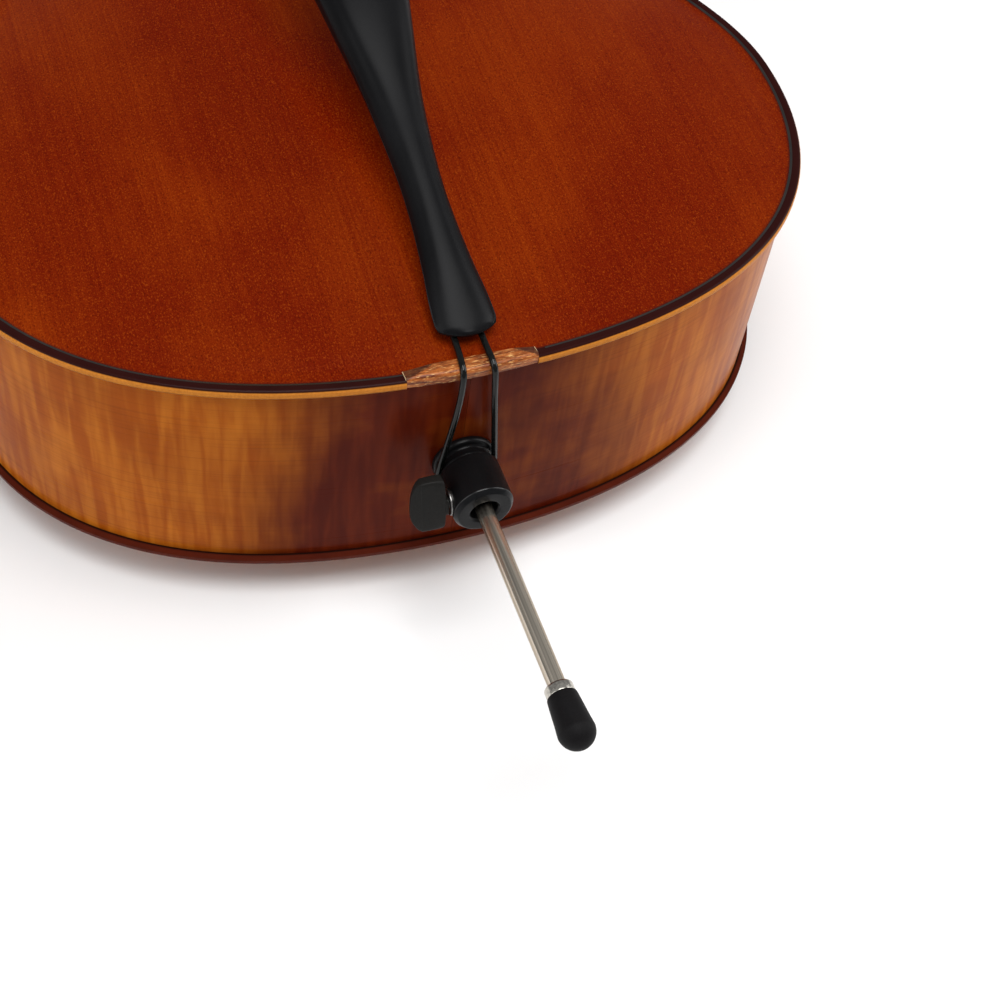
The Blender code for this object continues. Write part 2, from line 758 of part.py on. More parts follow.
def handle_rings():
    """Sections from the heel on the button, round the heel's curve and along the handle to the nut."""
    button_end = (BODY_LENGTH + 0.0195, EDGE + GAP)
    heel = bezier(button_end, (BODY_LENGTH + 0.020, 0.070), (0.788, 0.108), (0.835, 0.1125), 9)
    under = [(y, glue_z(y) - 0.0198 + 0.0018 * (y - 0.835) / 0.2) for y in (0.90, 0.97, 1.040)]
    outer = [*map(tuple, heel), *under]
    foot_heights = (EDGE + GAP, 0.035, 0.065, 0.092, 0.113, 0.130, glue_z(MORTISE_Y))
    inner = [(MORTISE_Y, z) for z in foot_heights]
    inner += [(y, glue_z(y)) for y in (0.768, 0.795, 0.835, 0.90, 0.97, 1.040)]
    rings = []
    for (iy, iz), (oy, oz) in zip(inner, outer):
        half = min(board_half(max(oy, iy)) + 0.0004, MORTISE_HALF - 0.0009)
        ring = []
        for turn in np.linspace(0, math.pi, 11):
            across = math.copysign(abs(math.cos(turn)) ** 0.80, math.cos(turn))
            deep = abs(math.sin(turn)) ** 0.85
            ring.append((half * across, iy + (oy - iy) * deep, iz + (oz - iz) * deep))
        rings.append(ring)
    return rings


def spiral(turn):
    """(u, v, half width) of the scroll's rim after a number of turns."""
    radius = SPIRAL_START * math.exp(-SPIRAL_DECAY * turn)
    angle = SPIRAL_FIRST_ANGLE + 2 * math.pi * turn
    turns = (0, 0.25, 0.5, 0.75, 0.9, 1.0, 1.5, 2.0, 2.5)
    half = np.interp(turn, turns, (14, 12.2, 11.6, 12.6, 14.6, 15.6, 21, 26, 30))
    return EYE[0] + radius * math.cos(angle), EYE[1] + radius * math.sin(angle), half * 0.001


PEGBOX = (  # back (u, v), front (u, v), half width
    ((-0.012, -0.018), (-0.010, -0.006), 0.0150),
    ((-0.002, -0.036), (0.000, 0.000), 0.0190),
    ((0.010, -0.046), (0.008, 0.001), 0.0212),
    ((0.030, -0.046), (0.028, 0.001), 0.0208),
    ((0.065, -0.040), (0.062, 0.000), 0.0186),
    ((0.098, -0.034), (0.098, -0.001), 0.0163),
)


def head_mesh():
    """Pegbox and scroll: square sections to the throat, then a stepped spiral to the eyes."""
    per_turn = 20
    points, faces = [], []

    def add(u, v, x):
        y, z = head_point(u, v)
        points.append((x, y, z))
        return len(points) - 1

    def corners(back, front, half):
        return [add(*back, -half), add(*back, half), add(*front, half), add(*front, -half)]

    sections = [corners(*row) for row in PEGBOX]
    first = spiral(0)
    throat = spiral(THROAT_TURN)
    start_back = [add(first[0], first[1], side * first[2]) for side in (-1, 1)]
    start_front = [add(throat[0], throat[1], side * first[2]) for side in (1, -1)]
    sections.append(start_back + start_front)
    for low, high in zip(sections, sections[1:]):
        faces += [(low[j], low[(j + 1) % 4], high[(j + 1) % 4], high[j]) for j in range(4)]
    faces.append(tuple(sections[0]))
    total = round(SPIRAL_TURNS * per_turn)
    throat_step = round(THROAT_TURN * per_turn)
    rim = {0: start_back}
    foot = {throat_step: [start_front[1], start_front[0]]}
    for k in range(1, total + 1):
        u, v, half = spiral(k / per_turn)
        rim[k] = [add(u, v, -half), add(u, v, half)]
        if k > throat_step:
            outer_half = spiral(max(k - per_turn, 0) / per_turn)[2]
            foot[k] = [add(u, v, -outer_half), add(u, v, outer_half)]
    for k in range(throat_step - 1):
        faces.append((rim[k][0], rim[k][1], rim[k + 1][1], rim[k + 1][0]))
    k = throat_step
    faces.append((rim[k - 1][0], rim[k - 1][1], rim[k][1], foot[k][1], foot[k][0], rim[k][0]))
    for k in range(throat_step, total):
        for side in (0, 1):
            faces.append((foot[k][side], foot[k + 1][side], rim[k + 1][side], rim[k][side]))
    for side in (0, 1):
        for k in range(throat_step, per_turn):
            faces.append((rim[0][side], foot[k][side], foot[k + 1][side]))
        for k in range(total - per_turn):
            outer = foot[k + per_turn][side], foot[k + per_turn + 1][side]
            faces.append((rim[k][side], *outer, rim[k + 1][side]))
        eye = [rim[k][side] for k in range(total - per_turn, total + 1)]
        faces.append((*eye, foot[total][side]))
    return mesh_of("head", points, faces, smooth=False)


def box_between(name, sections):
    """Loft through (back, front, half width) sections of the head."""
    rings = []
    for back, front, half in sections:
        (by, bz), (fy, fz) = head_point(*back), head_point(*front)
        rings.append([(-half, by, bz), (half, by, bz), (half, fy, fz), (-half, fy, fz)])
    return loft(name, rings, smooth=False)


def neck():
    handle = put("neck", loft("neck", handle_rings()), maple())
    boolean(handle, helper("head", head_mesh()), "UNION")
    cavity = box_between(
        "cavity",
        [
            ((0.009, -0.036), (0.007, 0.020), 0.0130),
            ((0.062, -0.032), (0.062, 0.020), 0.0112),
            ((0.120, -0.024), (0.122, 0.020), 0.0078),
        ],
    )
    boolean(handle, helper("pegbox_cavity", cavity))
    for string, (u, v, side) in PEG_PLACES.items():
        cutter = turned("peg_hole", [(0.0064, -0.035), (0.0052, 0.030)], 16)
        y, z = head_point(u, v)
        aim(helper(f"peg_hole_{string}", cutter), (0, y, z), (-side, 0, 0))
        boolean(handle, bpy.data.objects[f"peg_hole_{string}"])


def fingerboard():
    rings = []
    for y in np.linspace(NUT_Y - GAP, NUT_Y - BOARD_LENGTH, 7):
        half, base = board_half(y), glue_z(y) + GAP
        top = [(x, y, board_crown(x, y)) for x in np.linspace(half, -half, 9)]
        rings.append([(-half, y, base), (half, y, base), *top])
    put("fingerboard", loft("fingerboard", rings), ebony())


def board_crown(x, y):
    rise = math.sqrt(BOARD_RADIUS**2 - board_half(y) ** 2)
    return glue_z(y) + GAP + BOARD_SIDE + math.sqrt(BOARD_RADIUS**2 - x * x) - rise


def nut():
    rings = []
    for x in np.linspace(-BOARD_HALF_NUT, BOARD_HALF_NUT, 9):
        top = board_crown(x, NUT_Y)
        base = glue_z(NUT_Y) + GAP
        side_view = [(0.0, base), (0.0085, base - 0.0012), (0.0082, top - 0.0035)]
        side_view += [(0.003, top + 0.0001), (0.0, top + 0.0005)]
        rings.append([(x, NUT_Y + y, z) for y, z in side_view])
    put("nut", loft("nut", rings), ebony())


def pegs():
    """Tapered shafts with a collar and a flat thumb-piece. Each turns about its own local Z."""
    for string, (u, v, side) in PEG_PLACES.items():
        half = float(np.interp(u, (0.0, 0.065, 0.109), (0.0212, 0.0186, 0.0158)))
        out = half + 0.0045
        stations = [  # distance from the centre line, half size across, half thickness
            (-half - 0.0015, 0.0044, 0.0044),
            (out, 0.0057, 0.0057),
            (out + 0.0010, 0.0090, 0.0090),
            (out + 0.0035, 0.0090, 0.0090),
            (out + 0.0055, 0.0062, 0.0062),
            (out + 0.0100, 0.0075, 0.0062),
            (out + 0.0160, 0.0150, 0.0064),
            (out + 0.0240, 0.0195, 0.0062),
            (out + 0.0330, 0.0185, 0.0055),
            (out + 0.0390, 0.0120, 0.0045),
            (out + 0.0410, 0.0050, 0.0030),
        ]
        turns = np.linspace(0, 2 * math.pi, 17)[:-1]
        rings = []
        for along, wide, thick in stations:
            rings.append([(wide * math.cos(a), thick * math.sin(a), along) for a in turns])
        y, z = head_point(u, v)
        name = f"peg_{string}"
        aim(put(name, loft(name, rings), ebony()), (0, y, z), (side, 0, 0))


# ---------------------------------------------------------------- bridge and strings


def bridge_top(x):
    crown = float(belly_top(0, BRIDGE_Y)) + BRIDGE_HEIGHT
    return crown - BRIDGE_RADIUS + math.sqrt(BRIDGE_RADIUS**2 - x * x)


def bridge():
    """A two-footed bridge with a heart and side cut-outs, thick at the feet and thin at the top."""
    foot = float(belly_top(0, BRIDGE_Y))
    crown = [(x, bridge_top(x)) for x in np.linspace(0.0285, 0, 5)]
    side = [
        (0.0210, 0.0000), (0.0215, 0.0030), (0.0240, 0.0330), (0.0200, 0.0385), (0.0120, 0.0390), (0.0000, 0.0400),
    ]
    outer = [
        (0.0455, -0.0010), (0.0460, 0.0025), (0.0400, 0.0085), (0.0385, 0.0260), (0.0400, 0.0375), (0.0470, 0.0405),
        (0.0480, 0.0475), (0.0430, 0.0510), (0.0385, 0.0480), (0.0345, 0.0500), (0.0340, 0.0560), (0.0315, 0.0700),
    ]
    inner_leg = [(x, foot + z) for x, z in side[::-1]]
    outer_leg = [(x, foot + z) for x, z in outer]
    arcs = [p for p in inner_leg if p[0] > 0]
    right = [(0.0, foot + 0.0400), *arcs, *outer_leg, *crown[:-1]]
    right = np.array(right)
    loop = np.vstack([right, [(0.0, bridge_top(0))], mirrored(right)[:-1]])
    turns = np.linspace(0, 2 * math.pi, 15)[:-1]
    heart_z = foot + 0.0600 + 0.0080 * (np.cos(turns) - 0.35 * np.cos(2 * turns))
    heart = np.column_stack([0.0085 * np.sin(turns) ** 3, heart_z])
    oval = turns[::2]
    kidney = np.column_stack([0.0235 + 0.0065 * np.cos(oval), foot + 0.0560 + 0.0042 * np.sin(oval)])
    holes = [heart, kidney, kidney * (-1, 1)]

    def half_thick(x, z):
        return 0.0055 - 0.0041 * np.clip((z - foot) / BRIDGE_HEIGHT, 0, 1)

    flat = slab("bridge", loop, holes, [], half_thick, lambda x, z: -half_thick(x, z))
    for vertex in flat.vertices:
        x, z, y = vertex.co
        vertex.co = (x, BRIDGE_Y + y, z)
    flat.flip_normals()
    obj = put("bridge", flat, material("bridge_maple", (0.62, 0.40, 0.18), 0.5))
    return obj


def fit_bridge_feet(obj):
    """Brings the soles of the feet down to the belly's arch."""
    foot = float(belly_top(0, BRIDGE_Y))
    for vertex in obj.data.vertices:
        if vertex.co.z < foot + 0.0005:
            x, y = vertex.co.x, vertex.co.y
            vertex.co.z = max(float(belly_top(x, y)), float(belly_top(x * 0.98, y))) + 2 * GAP


def string_path(name, place, radius):
    """From the fine tuner's hook over the bridge and the nut to the peg."""
    u, v, side = PEG_PLACES[name]
    tail_x, bridge_x, nut_x = place * TAIL_SPACING, place * BRIDGE_SPACING, place * NUT_SPACING
    hook = tail_point(TUNER_HOOK_S + GAP, tail_crown(tail_x) + 0.0018)
    over_bridge = bridge_top(bridge_x) + radius + GAP
    over_nut = board_crown(nut_x, NUT_Y) + 0.0005 + radius + GAP
    peg_y, peg_z = head_point(u, v)
    shaft = 0.0052 + radius + 0.0005
    wind_x = side * 0.0045
    route = [
        (tail_x, *hook),
        (bridge_x, BRIDGE_Y - 0.0030, over_bridge - 0.0006),
        (bridge_x, BRIDGE_Y, over_bridge),
        (bridge_x, BRIDGE_Y + 0.0030, over_bridge - 0.0004),
        (nut_x, NUT_Y + 0.0005, over_nut),
        (nut_x, NUT_Y + 0.0035, over_nut - 0.0006),
        (nut_x, NUT_Y + 0.0090, over_nut - 0.0040),
    ]
    turns, steps = 1.5, 9
    tilt = math.pi / 2 + HEAD_TILT * 0.6
    for k in range(int(turns * steps) + 1):
        angle = tilt - 2 * math.pi * k / steps
        x = wind_x - side * k / steps * 2.15 * max(radius, 0.0007)
        route.append((x, peg_y + shaft * math.cos(angle), peg_z + shaft * math.sin(angle)))
    return route


def strings():
    wound = material("wound_steel", (0.42, 0.41, 0.40), 0.3, 1.0)
    for name, place, radius in STRINGS:
        tube(f"string_{name}", string_path(name, place, radius), radius, wound)


# ---------------------------------------------------------------- tailpiece and fine tuners


def tail_point(s, n):
    """A place along the tailpiece from its lower end and out of its underside plane, as (y, z)."""
    c, t = math.cos(TAIL_SLOPE), math.sin(TAIL_SLOPE)
    return TAIL_END_Y + s * c - n * t, TAIL_END_Z + s * t + n * c


def tail_shift(s):
    """How far the tailpiece's axis lies to the treble side: it hangs a little askew from its tuners."""
    return TAIL_FOOT_SHIFT * max(0.0, 1 - s / 0.19)


def tail_half(s):
    """Half width of the tailpiece: flared foot, narrow waist, wide string end."""
    foot = (-0.0047, -0.0040, -0.0030, -0.0012, 0.0010, 0.0040)
    foot_halves = (0.0035, 0.0075, 0.0098, 0.0122, 0.0138, 0.0142)
    stations = (*foot, 0.030, 0.065, 0.110, 0.170, 0.215, 0.229, 0.235)
    halves = (*foot_halves, 0.0118, 0.0099, 0.0125, 0.0210, 0.0272, 0.0268, 0.0225)
    return float(np.interp(s, stations, halves))


def tail_height(s):
    stations = (-0.0047, -0.0025, 0.003, 0.020, 0.060, 0.150, 0.235)
    heights = (0.0044, 0.0050, 0.0058, 0.0078, 0.0098, 0.0120, 0.0125)
    return float(np.interp(s, stations, heights))


def tail_crown(x):
    """Height of the tailpiece's arched string end over its underside plane."""
    return tail_height(0.22) + 0.0045 - TAIL_ARC + math.sqrt(TAIL_ARC**2 - x * x)


def tail_under(s):
    """The underside, raised at the foot where the cord comes out."""
    return 0.0021 * float(np.clip((0.0010 - s) / 0.0057, 0, 1))


def tail_top(x, s):
    half, height = tail_half(s), tail_height(s)
    blend = float(np.clip((s - 0.10) / 0.08, 0, 1))
    slim = height * (1 - abs(x / half) ** 3.2) ** 0.5 if abs(x) < half else 0.0
    slim = max(slim, tail_under(s) + 0.0022)
    wide = tail_crown(x) * (1 - 0.45 * abs(x / half) ** 8)
    return slim * (1 - blend) + wide * blend


def tailpiece():
    rings = []
    for s in (-0.0047, -0.0040, -0.0030, -0.0012, 0.0010, 0.0040, 0.012, 0.030, 0.048, 0.065, 0.088, 0.110, 0.140, 0.170, 0.200, 0.217, 0.229, 0.235):
        half = tail_half(s)
        across = [half * math.sin(a) for a in np.linspace(math.pi / 2, -math.pi / 2, 13)]
        under = tail_point(s, tail_under(s))
        ring = [(half, *under), *[(x, *tail_point(s, tail_top(x, s))) for x in across]]
        ring.append((-half, *under))
        rings.append([(x + tail_shift(s), y, z) for x, y, z in ring])
    body = put("tailpiece", loft("tailpiece", rings), composite())
    for name, place, _ in STRINGS:
        x = place * TAIL_SPACING
        top = tail_crown(x)
        slot = tail_box(f"slot_{name}", x, 0.0030, 0.2105, 0.2365, top - 0.0115, top + 0.004)
        pocket = tail_box(f"pocket_{name}", x, 0.0036, 0.1975, 0.2365, -0.004, top - 0.0036)
        for cutter in (slot, pocket):
            boolean(body, cutter)
        screw_hole = helper(f"screw_hole_{name}", turned("screw", [(0.0023, -0.004), (0.0023, 0.010)], 12))
        place_on_tail(screw_hole, x, TUNER_SCREW_S, top - 0.004)
        boolean(body, screw_hole)
        pin_hole = helper(f"pivot_hole_{name}", turned("pivot", [(0.0014, -0.0052), (0.0014, 0.0052)], 12))
        aim(pin_hole, (x, *tail_point(TUNER_PIVOT_S, top - TUNER_DROP)), (1, 0, 0))
        boolean(body, pin_hole)


def tail_box(name, x, half, s0, s1, n0, n1):
    corners = [(s0, n0), (s1, n0), (s1, n1), (s0, n1)]
    rings = [[(x + side * half, *tail_point(s, n)) for s, n in corners] for side in (-1, 1)]
    return helper(name, loft(name, rings, smooth=False))


def place_on_tail(obj, x, s, n):
    normal = (0, -math.sin(TAIL_SLOPE), math.cos(TAIL_SLOPE))
    return aim(obj, (x, *tail_point(s, n)), normal)


def fine_tuners():
    """For each string a lever on a cross pin, a screw that pushes it and a knurled knob."""
    nickel = material("nickel", (0.60, 0.58, 0.54), 0.25, 1.0)
    for name, place, _ in STRINGS:
        x = place * TAIL_SPACING
        top = tail_crown(x)
        pivot = top - TUNER_DROP
        side_view = [
            (0.1995, pivot - 0.0014), (0.2240, pivot - 0.0018), (0.2290, pivot - 0.0005), (TUNER_HOOK_S, top + 0.0030),
            (0.2250, top + 0.0036), (0.2240, top + 0.0008), (0.2225, pivot + 0.0022), (0.1995, pivot + 0.0012),
        ]
        rings = [[(x + k * 0.0022, *tail_point(s, n)) for s, n in side_view] for k in (-1, 1)]
        lever = put(f"tuner_lever_{name}", loft("lever", rings, smooth=False), nickel)
        pin = helper(f"tuner_pin_{name}", turned("pin", [(0.0010, -0.0048), (0.0010, 0.0048)], 10))
        aim(pin, (x, *tail_point(TUNER_PIVOT_S, pivot)), (1, 0, 0))
        boolean(lever, pin, "UNION")
        screw_foot = pivot + 0.0012 + 2 * GAP
        length = top + KNOB_RISE + 0.0062 - screw_foot
        screw = turned("screw", [(0.0010, 0), (0.0018, 0.0010), (0.0018, length)], 12)
        place_on_tail(put(f"tuner_screw_{name}", screw, nickel), x, TUNER_SCREW_S, screw_foot)
        knob = turned(
            "knob",
            [(0.0021, 0.0), (0.0042, 0.0), (0.0050, 0.0010), (0.0050, 0.0062), (0.0044, 0.0070), (0.0021, 0.0070)],
            16,
            bore=[(0.0021, 0.0005), (0.0021, 0.0065)],
        )
        place_on_tail(put(f"tuner_knob_{name}", knob, nickel), x, TUNER_SCREW_S, top + KNOB_RISE)


def gut_route():
    """From the nut under the tailpiece, over the saddle, round the endpin's collar and back."""
    groove = GROOVE_RADIUS + GUT_RADIUS + GAP
    saddle = SADDLE_TOP + GUT_RADIUS + 2 * GAP
    y = -0.0023
    legs = [  # bass side x, treble side x, (y, z)
        (-0.0036, 0.0089, tail_point(0.020, -GUT_RADIUS - 2 * GAP)),
        (-0.0038, 0.0089, tail_point(0.001, -GUT_RADIUS - 2 * GAP)),
        (-0.0044, 0.0086, (0.0095, saddle + 0.0004)),
        (-0.0050, 0.0086, (0.0050, saddle)),
        (-0.0054, 0.0087, (-0.0002, saddle - 0.0013)),
        (-0.0058, 0.0089, (-0.0030, saddle - 0.0066)),
        (-0.0066, 0.0099, (y - 0.0004, saddle - 0.0190)),
        (-0.0086, 0.0118, (y, 0.0930)),
    ]
    loop = []
    for angle in np.radians(np.linspace(6, -191, 11)):
        loop.append((PIN_X + groove * math.cos(angle), y, PIN_Z + groove * math.sin(angle)))
    treble = [(right, *place) for _, right, place in legs]
    bass = [(left, *place) for left, _, place in legs[::-1]]
    return treble + loop + bass


def tailgut():
    tube("tailgut", gut_route(), GUT_RADIUS, composite())
    brass = material("brass", (0.62, 0.45, 0.18), 0.35, 1.0)
    for x, word in ((-0.0036, "bass"), (0.0089, "treble")):
        name = f"tailgut_nut_{word}"
        knurled = turned(name, [(0.0030, 0), (0.0030, 0.006)], 12)
        place = (x, *tail_point(0.020 + GAP, -0.0036))
        aim(put(name, knurled, brass), place, (0, math.cos(TAIL_SLOPE), math.sin(TAIL_SLOPE)))


def saddle():
    """Let into the belly's edge, rounded over and sloping off at both ends."""
    rings = []
    for share in (-1, -0.97, -0.66, -0.3, 0, 0.3, 0.66, 0.97, 1):
        x = share * SADDLE_HALF
        top = SADDLE_TOP - 0.0022 * float(np.clip((abs(share) - 0.62) / 0.35, 0, 1))
        front = 0.0002 + 1.76 * x * x
        base = BELLY_UNDER + GAP
        side_view = [(front + 0.0006, base), (SADDLE_DEEP - GAP, base), (SADDLE_DEEP - GAP, top - 0.0006)]
        side_view += [(SADDLE_DEEP - 0.0016, top), (front + 0.0030, top)]
        side_view += [(front + 0.0008, top - 0.0012), (front, top - 0.0032)]
        rings.append([(x, y, z) for y, z in side_view])
    put("saddle", loft("saddle", rings), material("rosewood", (0.22, 0.08, 0.03), 0.4))


# ---------------------------------------------------------------- endpin


def endpin():
    axis = (0, -1, 0)
    centre = (PIN_X, 0, PIN_Z)
    clamp = (PIN_X, CLAMP_Y, PIN_Z)
    plug = turned(
        "endpin_plug",
        [
            (0.0122, -0.040),
            (0.0134, GAP - OVERHANG),
            (FLANGE_RADIUS, GAP - OVERHANG),
            (FLANGE_RADIUS, -0.0008),
            (FLANGE_RADIUS - 0.0010, -0.0002),
            (GROOVE_RADIUS, 0.0002),
            (GROOVE_RADIUS, 0.0045),
            (0.0136, 0.0050),
            (0.0136, 0.0053),
        ],
        24,
        bore=[(0.0050, -0.040), (0.0050, 0.0053)],
    )
    aim(put("endpin_plug", plug, ebony()), centre, axis)
    near, far = -HOUSING_NEAR, -HOUSING_FAR
    housing = turned(
        "endpin_housing",
        [(0.0135, near), (HOUSING_RADIUS, near + 0.0010), (HOUSING_RADIUS, far - 0.0022), (0.0130, far)],
        24,
        bore=[(0.0046, near), (0.0046, far - 0.0070), (0.0070, far - 0.0050), (0.0072, far)],
    )
    housing = aim(put("endpin_housing", housing, ebony()), centre, axis)
    stepped = [(0.0043, 0.002), (0.0043, SPOT_FACE), (0.0064, SPOT_FACE), (0.0064, 0.020)]
    hole = turned("clamp_hole", stepped, 16)
    boolean(housing, aim(helper("clamp_hole", hole), clamp, (-1, 0, 0)))
    bushing = turned(
        "clamp_bushing",
        [
            (0.0040, 0.0062),
            (0.0040, SPOT_FACE + GAP),
            (0.0060, SPOT_FACE + GAP),
            (0.0060, 0.0138),
            (0.0056, 0.0142),
        ],
        16,
        bore=[(0.0031, 0.0062), (0.0031, 0.0142)],
    )
    aim(put("clamp_bushing", bushing, steel()), clamp, (-1, 0, 0))
    pointed = [(0.0020, ROD_RADIUS + GAP), (0.0027, ROD_RADIUS + 0.0012), (0.0027, 0.0240)]
    screw = turned("clamp_screw", pointed, 16)
    aim(put("clamp_screw", screw, steel()), clamp, (-1, 0, 0))
    clamp_grip(clamp)
    rounded_end = [(0.0034, -ROD_IN), (ROD_RADIUS, -ROD_IN + 0.0006), (ROD_RADIUS, -ROD_OUT)]
    rod = turned("endpin_rod", rounded_end, 16)
    aim(put("endpin_rod", rod, steel()), centre, axis)
    ferrule = turned(
        "endpin_ferrule",
        [
            (FERRULE_RADIUS - 0.0005, -FERRULE_NEAR),
            (FERRULE_RADIUS, 0.0005 - FERRULE_NEAR),
            (FERRULE_RADIUS, -FERRULE_FAR),
        ],
        20,
        bore=[(ROD_RADIUS + GAP, -FERRULE_NEAR), (ROD_RADIUS + GAP, -FERRULE_FAR)],
    )
    aim(put("endpin_ferrule", ferrule, material("nickel", (0.60, 0.58, 0.54), 0.25, 1.0)), centre, axis)
    endpin_tip(centre, axis)


def endpin_tip(centre, axis):
    """Rubber foot: a socket over the rod's end, swelling to a round nose with a small flat."""
    start, end = -FERRULE_FAR + GAP, -TIP_END
    profile = [(0.0066, start), (0.0071, start + 0.003), (0.0075, start + 0.0075), (0.0079, start + 0.0125)]
    nose = 0.0081
    for angle in np.linspace(0, math.radians(72), 7):
        profile.append((nose * math.cos(angle), end - nose + nose * math.sin(angle)))
    profile.append((0.0020, end))
    socket = -ROD_OUT + GAP
    depth = [(ROD_RADIUS + GAP, start), (ROD_RADIUS + GAP, socket), (0.0004, socket)]
    sides = 20
    line = profile[::-1] + depth
    angles = [2 * math.pi * k / sides for k in range(sides)]
    points = [(r * math.cos(a), r * math.sin(a), z) for r, z in line for a in angles]
    faces = [tuple(range(sides))]
    for k in range(len(line) - 1):
        for j in range(sides):
            a, b = k * sides + j, k * sides + (j + 1) % sides
            faces.append((a, b, b + sides, a + sides))
    faces.append(tuple((len(line) - 1) * sides + j for j in range(sides)))
    mesh = mesh_of("endpin_tip", points, faces)
    aim(put("endpin_tip", mesh, material("rubber", (0.015, 0.015, 0.016), 0.6)), centre, axis)


def clamp_grip(clamp):
    """The flat thumb-piece of the clamping screw, with a round hub. It turns about its local Z."""
    stations = [  # distance out, half length, half thickness
        (0.0172, 0.0060, 0.0044), (0.0178, 0.0130, 0.0040), (0.0195, 0.0140, 0.0037), (0.0274, 0.0140, 0.0033),
        (0.0298, 0.0127, 0.0023), (0.0314, 0.0104, 0.0016), (0.0326, 0.0066, 0.0011),
    ]
    rings = []
    for along, wide, thick in stations:
        ring = []
        for a in np.linspace(0, 2 * math.pi, 21)[:-1]:
            c, s = math.cos(a), math.sin(a)
            flat, square = math.copysign(abs(s) ** 0.6, s), math.copysign(abs(c) ** 0.45, c)
            ring.append((thick * flat, wide * square - 0.0014, along))
        rings.append(ring)
    grip = put("clamp_grip", loft("clamp_grip", rings), composite())
    turn = Matrix.Rotation(CLAMP_TILT, 4, "X") @ Matrix.Rotation(math.radians(-90), 4, "Y")
    roll = Matrix.Rotation(math.radians(90), 4, "Z")
    grip.matrix_local = Matrix.Translation(clamp) @ turn @ roll
    hole = helper("grip_hole", turned("grip_hole", [(0.0030, 0.010), (0.0030, 0.0243)], 12))
    aim(hole, clamp, (-1, 0, 0))
    boolean(grip, hole)


# ---------------------------------------------------------------- the whole cello


def main():
    clear_scene()
    root = bpy.data.objects.new("cello", None)
    bpy.context.scene.collection.objects.link(root)
    root.location = (0, -ORIGIN_Y, BACK_ARCH)
    plates()
    ribs()
    linings()
    blocks()
    bass_bar()
    soundpost()
    neck()
    fingerboard()
    nut()
    pegs()
    fit_bridge_feet(bridge())
    strings()
    tailpiece()
    fine_tuners()
    tailgut()
    saddle()
    endpin()


main()
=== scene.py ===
"""The cello's visible shapes and materials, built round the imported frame.

Shapes are drawn in the cello's own axes (Y = 0 at the body's lower edge, Z = 0 at the plane of the
back's edge) and moved by ORIGIN into the frame's axes, where the cello lies on its back.
"""

import math

import bmesh
import bpy
import numpy as np
from mathutils import Matrix, Vector
from mathutils.geometry import delaunay_2d_cdt

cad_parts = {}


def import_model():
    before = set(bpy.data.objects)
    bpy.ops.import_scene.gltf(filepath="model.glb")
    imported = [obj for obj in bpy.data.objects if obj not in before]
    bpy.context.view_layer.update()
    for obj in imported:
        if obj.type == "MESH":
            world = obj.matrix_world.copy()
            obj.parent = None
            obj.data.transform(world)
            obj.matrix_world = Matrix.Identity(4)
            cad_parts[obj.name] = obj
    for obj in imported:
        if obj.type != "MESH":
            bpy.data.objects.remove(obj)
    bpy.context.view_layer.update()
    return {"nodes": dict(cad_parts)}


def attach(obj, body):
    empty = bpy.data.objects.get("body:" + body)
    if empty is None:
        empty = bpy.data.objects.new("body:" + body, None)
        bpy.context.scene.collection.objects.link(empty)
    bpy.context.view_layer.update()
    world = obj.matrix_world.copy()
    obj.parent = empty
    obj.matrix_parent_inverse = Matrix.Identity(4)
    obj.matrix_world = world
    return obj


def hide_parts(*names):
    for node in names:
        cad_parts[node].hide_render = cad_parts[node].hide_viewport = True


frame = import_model()

ORIGIN = Vector((0.0, -0.5285, 0.025))
BODY_LENGTH = 0.755
LOWER_HALF, LOWER_Y = 0.22, 0.168
WAIST_HALF, WAIST_Y = 0.115, 0.405
UPPER_HALF, UPPER_Y = 0.17, 0.628
EDGE = 0.0045
RIB_HEIGHT = 0.118
BELLY_UNDER = EDGE + RIB_HEIGHT
BELLY_TOP = BELLY_UNDER + EDGE
OVERHANG, RIB_THICK = 0.0035, 0.0016
BELLY_ARCH, BACK_ARCH = 0.024, 0.025
PLATE_THICK = 0.0045
ARCH_INSET = 0.011
CORNER_REACH = 0.016
SADDLE_HALF, SADDLE_DEEP = 0.0305, 0.0085
SADDLE_TOP = BELLY_TOP + 0.0018
LOWER_EDGE_CURVE = 1.76
MORTISE_HALF, MORTISE_Y = 0.0225, 0.745
BUTTON_RADIUS = 0.021
PURFLING_NEAR, PURFLING_FAR = 0.0046, 0.0058
GAP = 0.0003

BRIDGE_Y, BRIDGE_HEIGHT, BRIDGE_RADIUS = 0.355, 0.091, 0.064
BRIDGE_SPACING, NUT_SPACING, TAIL_SPACING = 0.0158, 0.0075, 0.0125
STRINGS = (("c", -1.5, 0.0009), ("g", -0.5, 0.00075), ("d", 0.5, 0.0006), ("a", 1.5, 0.0005))

NUT_Y = 1.035
GLUE_Z = BELLY_TOP + 0.02
NECK_SLOPE = 0.178
BOARD_LENGTH = 0.59
BOARD_HALF_NUT, BOARD_HALF_END = 0.0158, 0.0315
BOARD_RADIUS, BOARD_SIDE = 0.065, 0.0075
HEAD_TILT = math.radians(22)
EYE = (0.158, -0.004)
SPIRAL_START, SPIRAL_DECAY = 0.045, 0.72
SPIRAL_FIRST_ANGLE = math.radians(-143)
SPIRAL_TURNS, THROAT_TURN = 2.5, 0.9
PEG_PLACES = {"c": (0.028, -0.018, -1), "a": (0.056, -0.017, 1), "g": (0.084, -0.015, -1),
    "d": (0.108, -0.012, 1)}

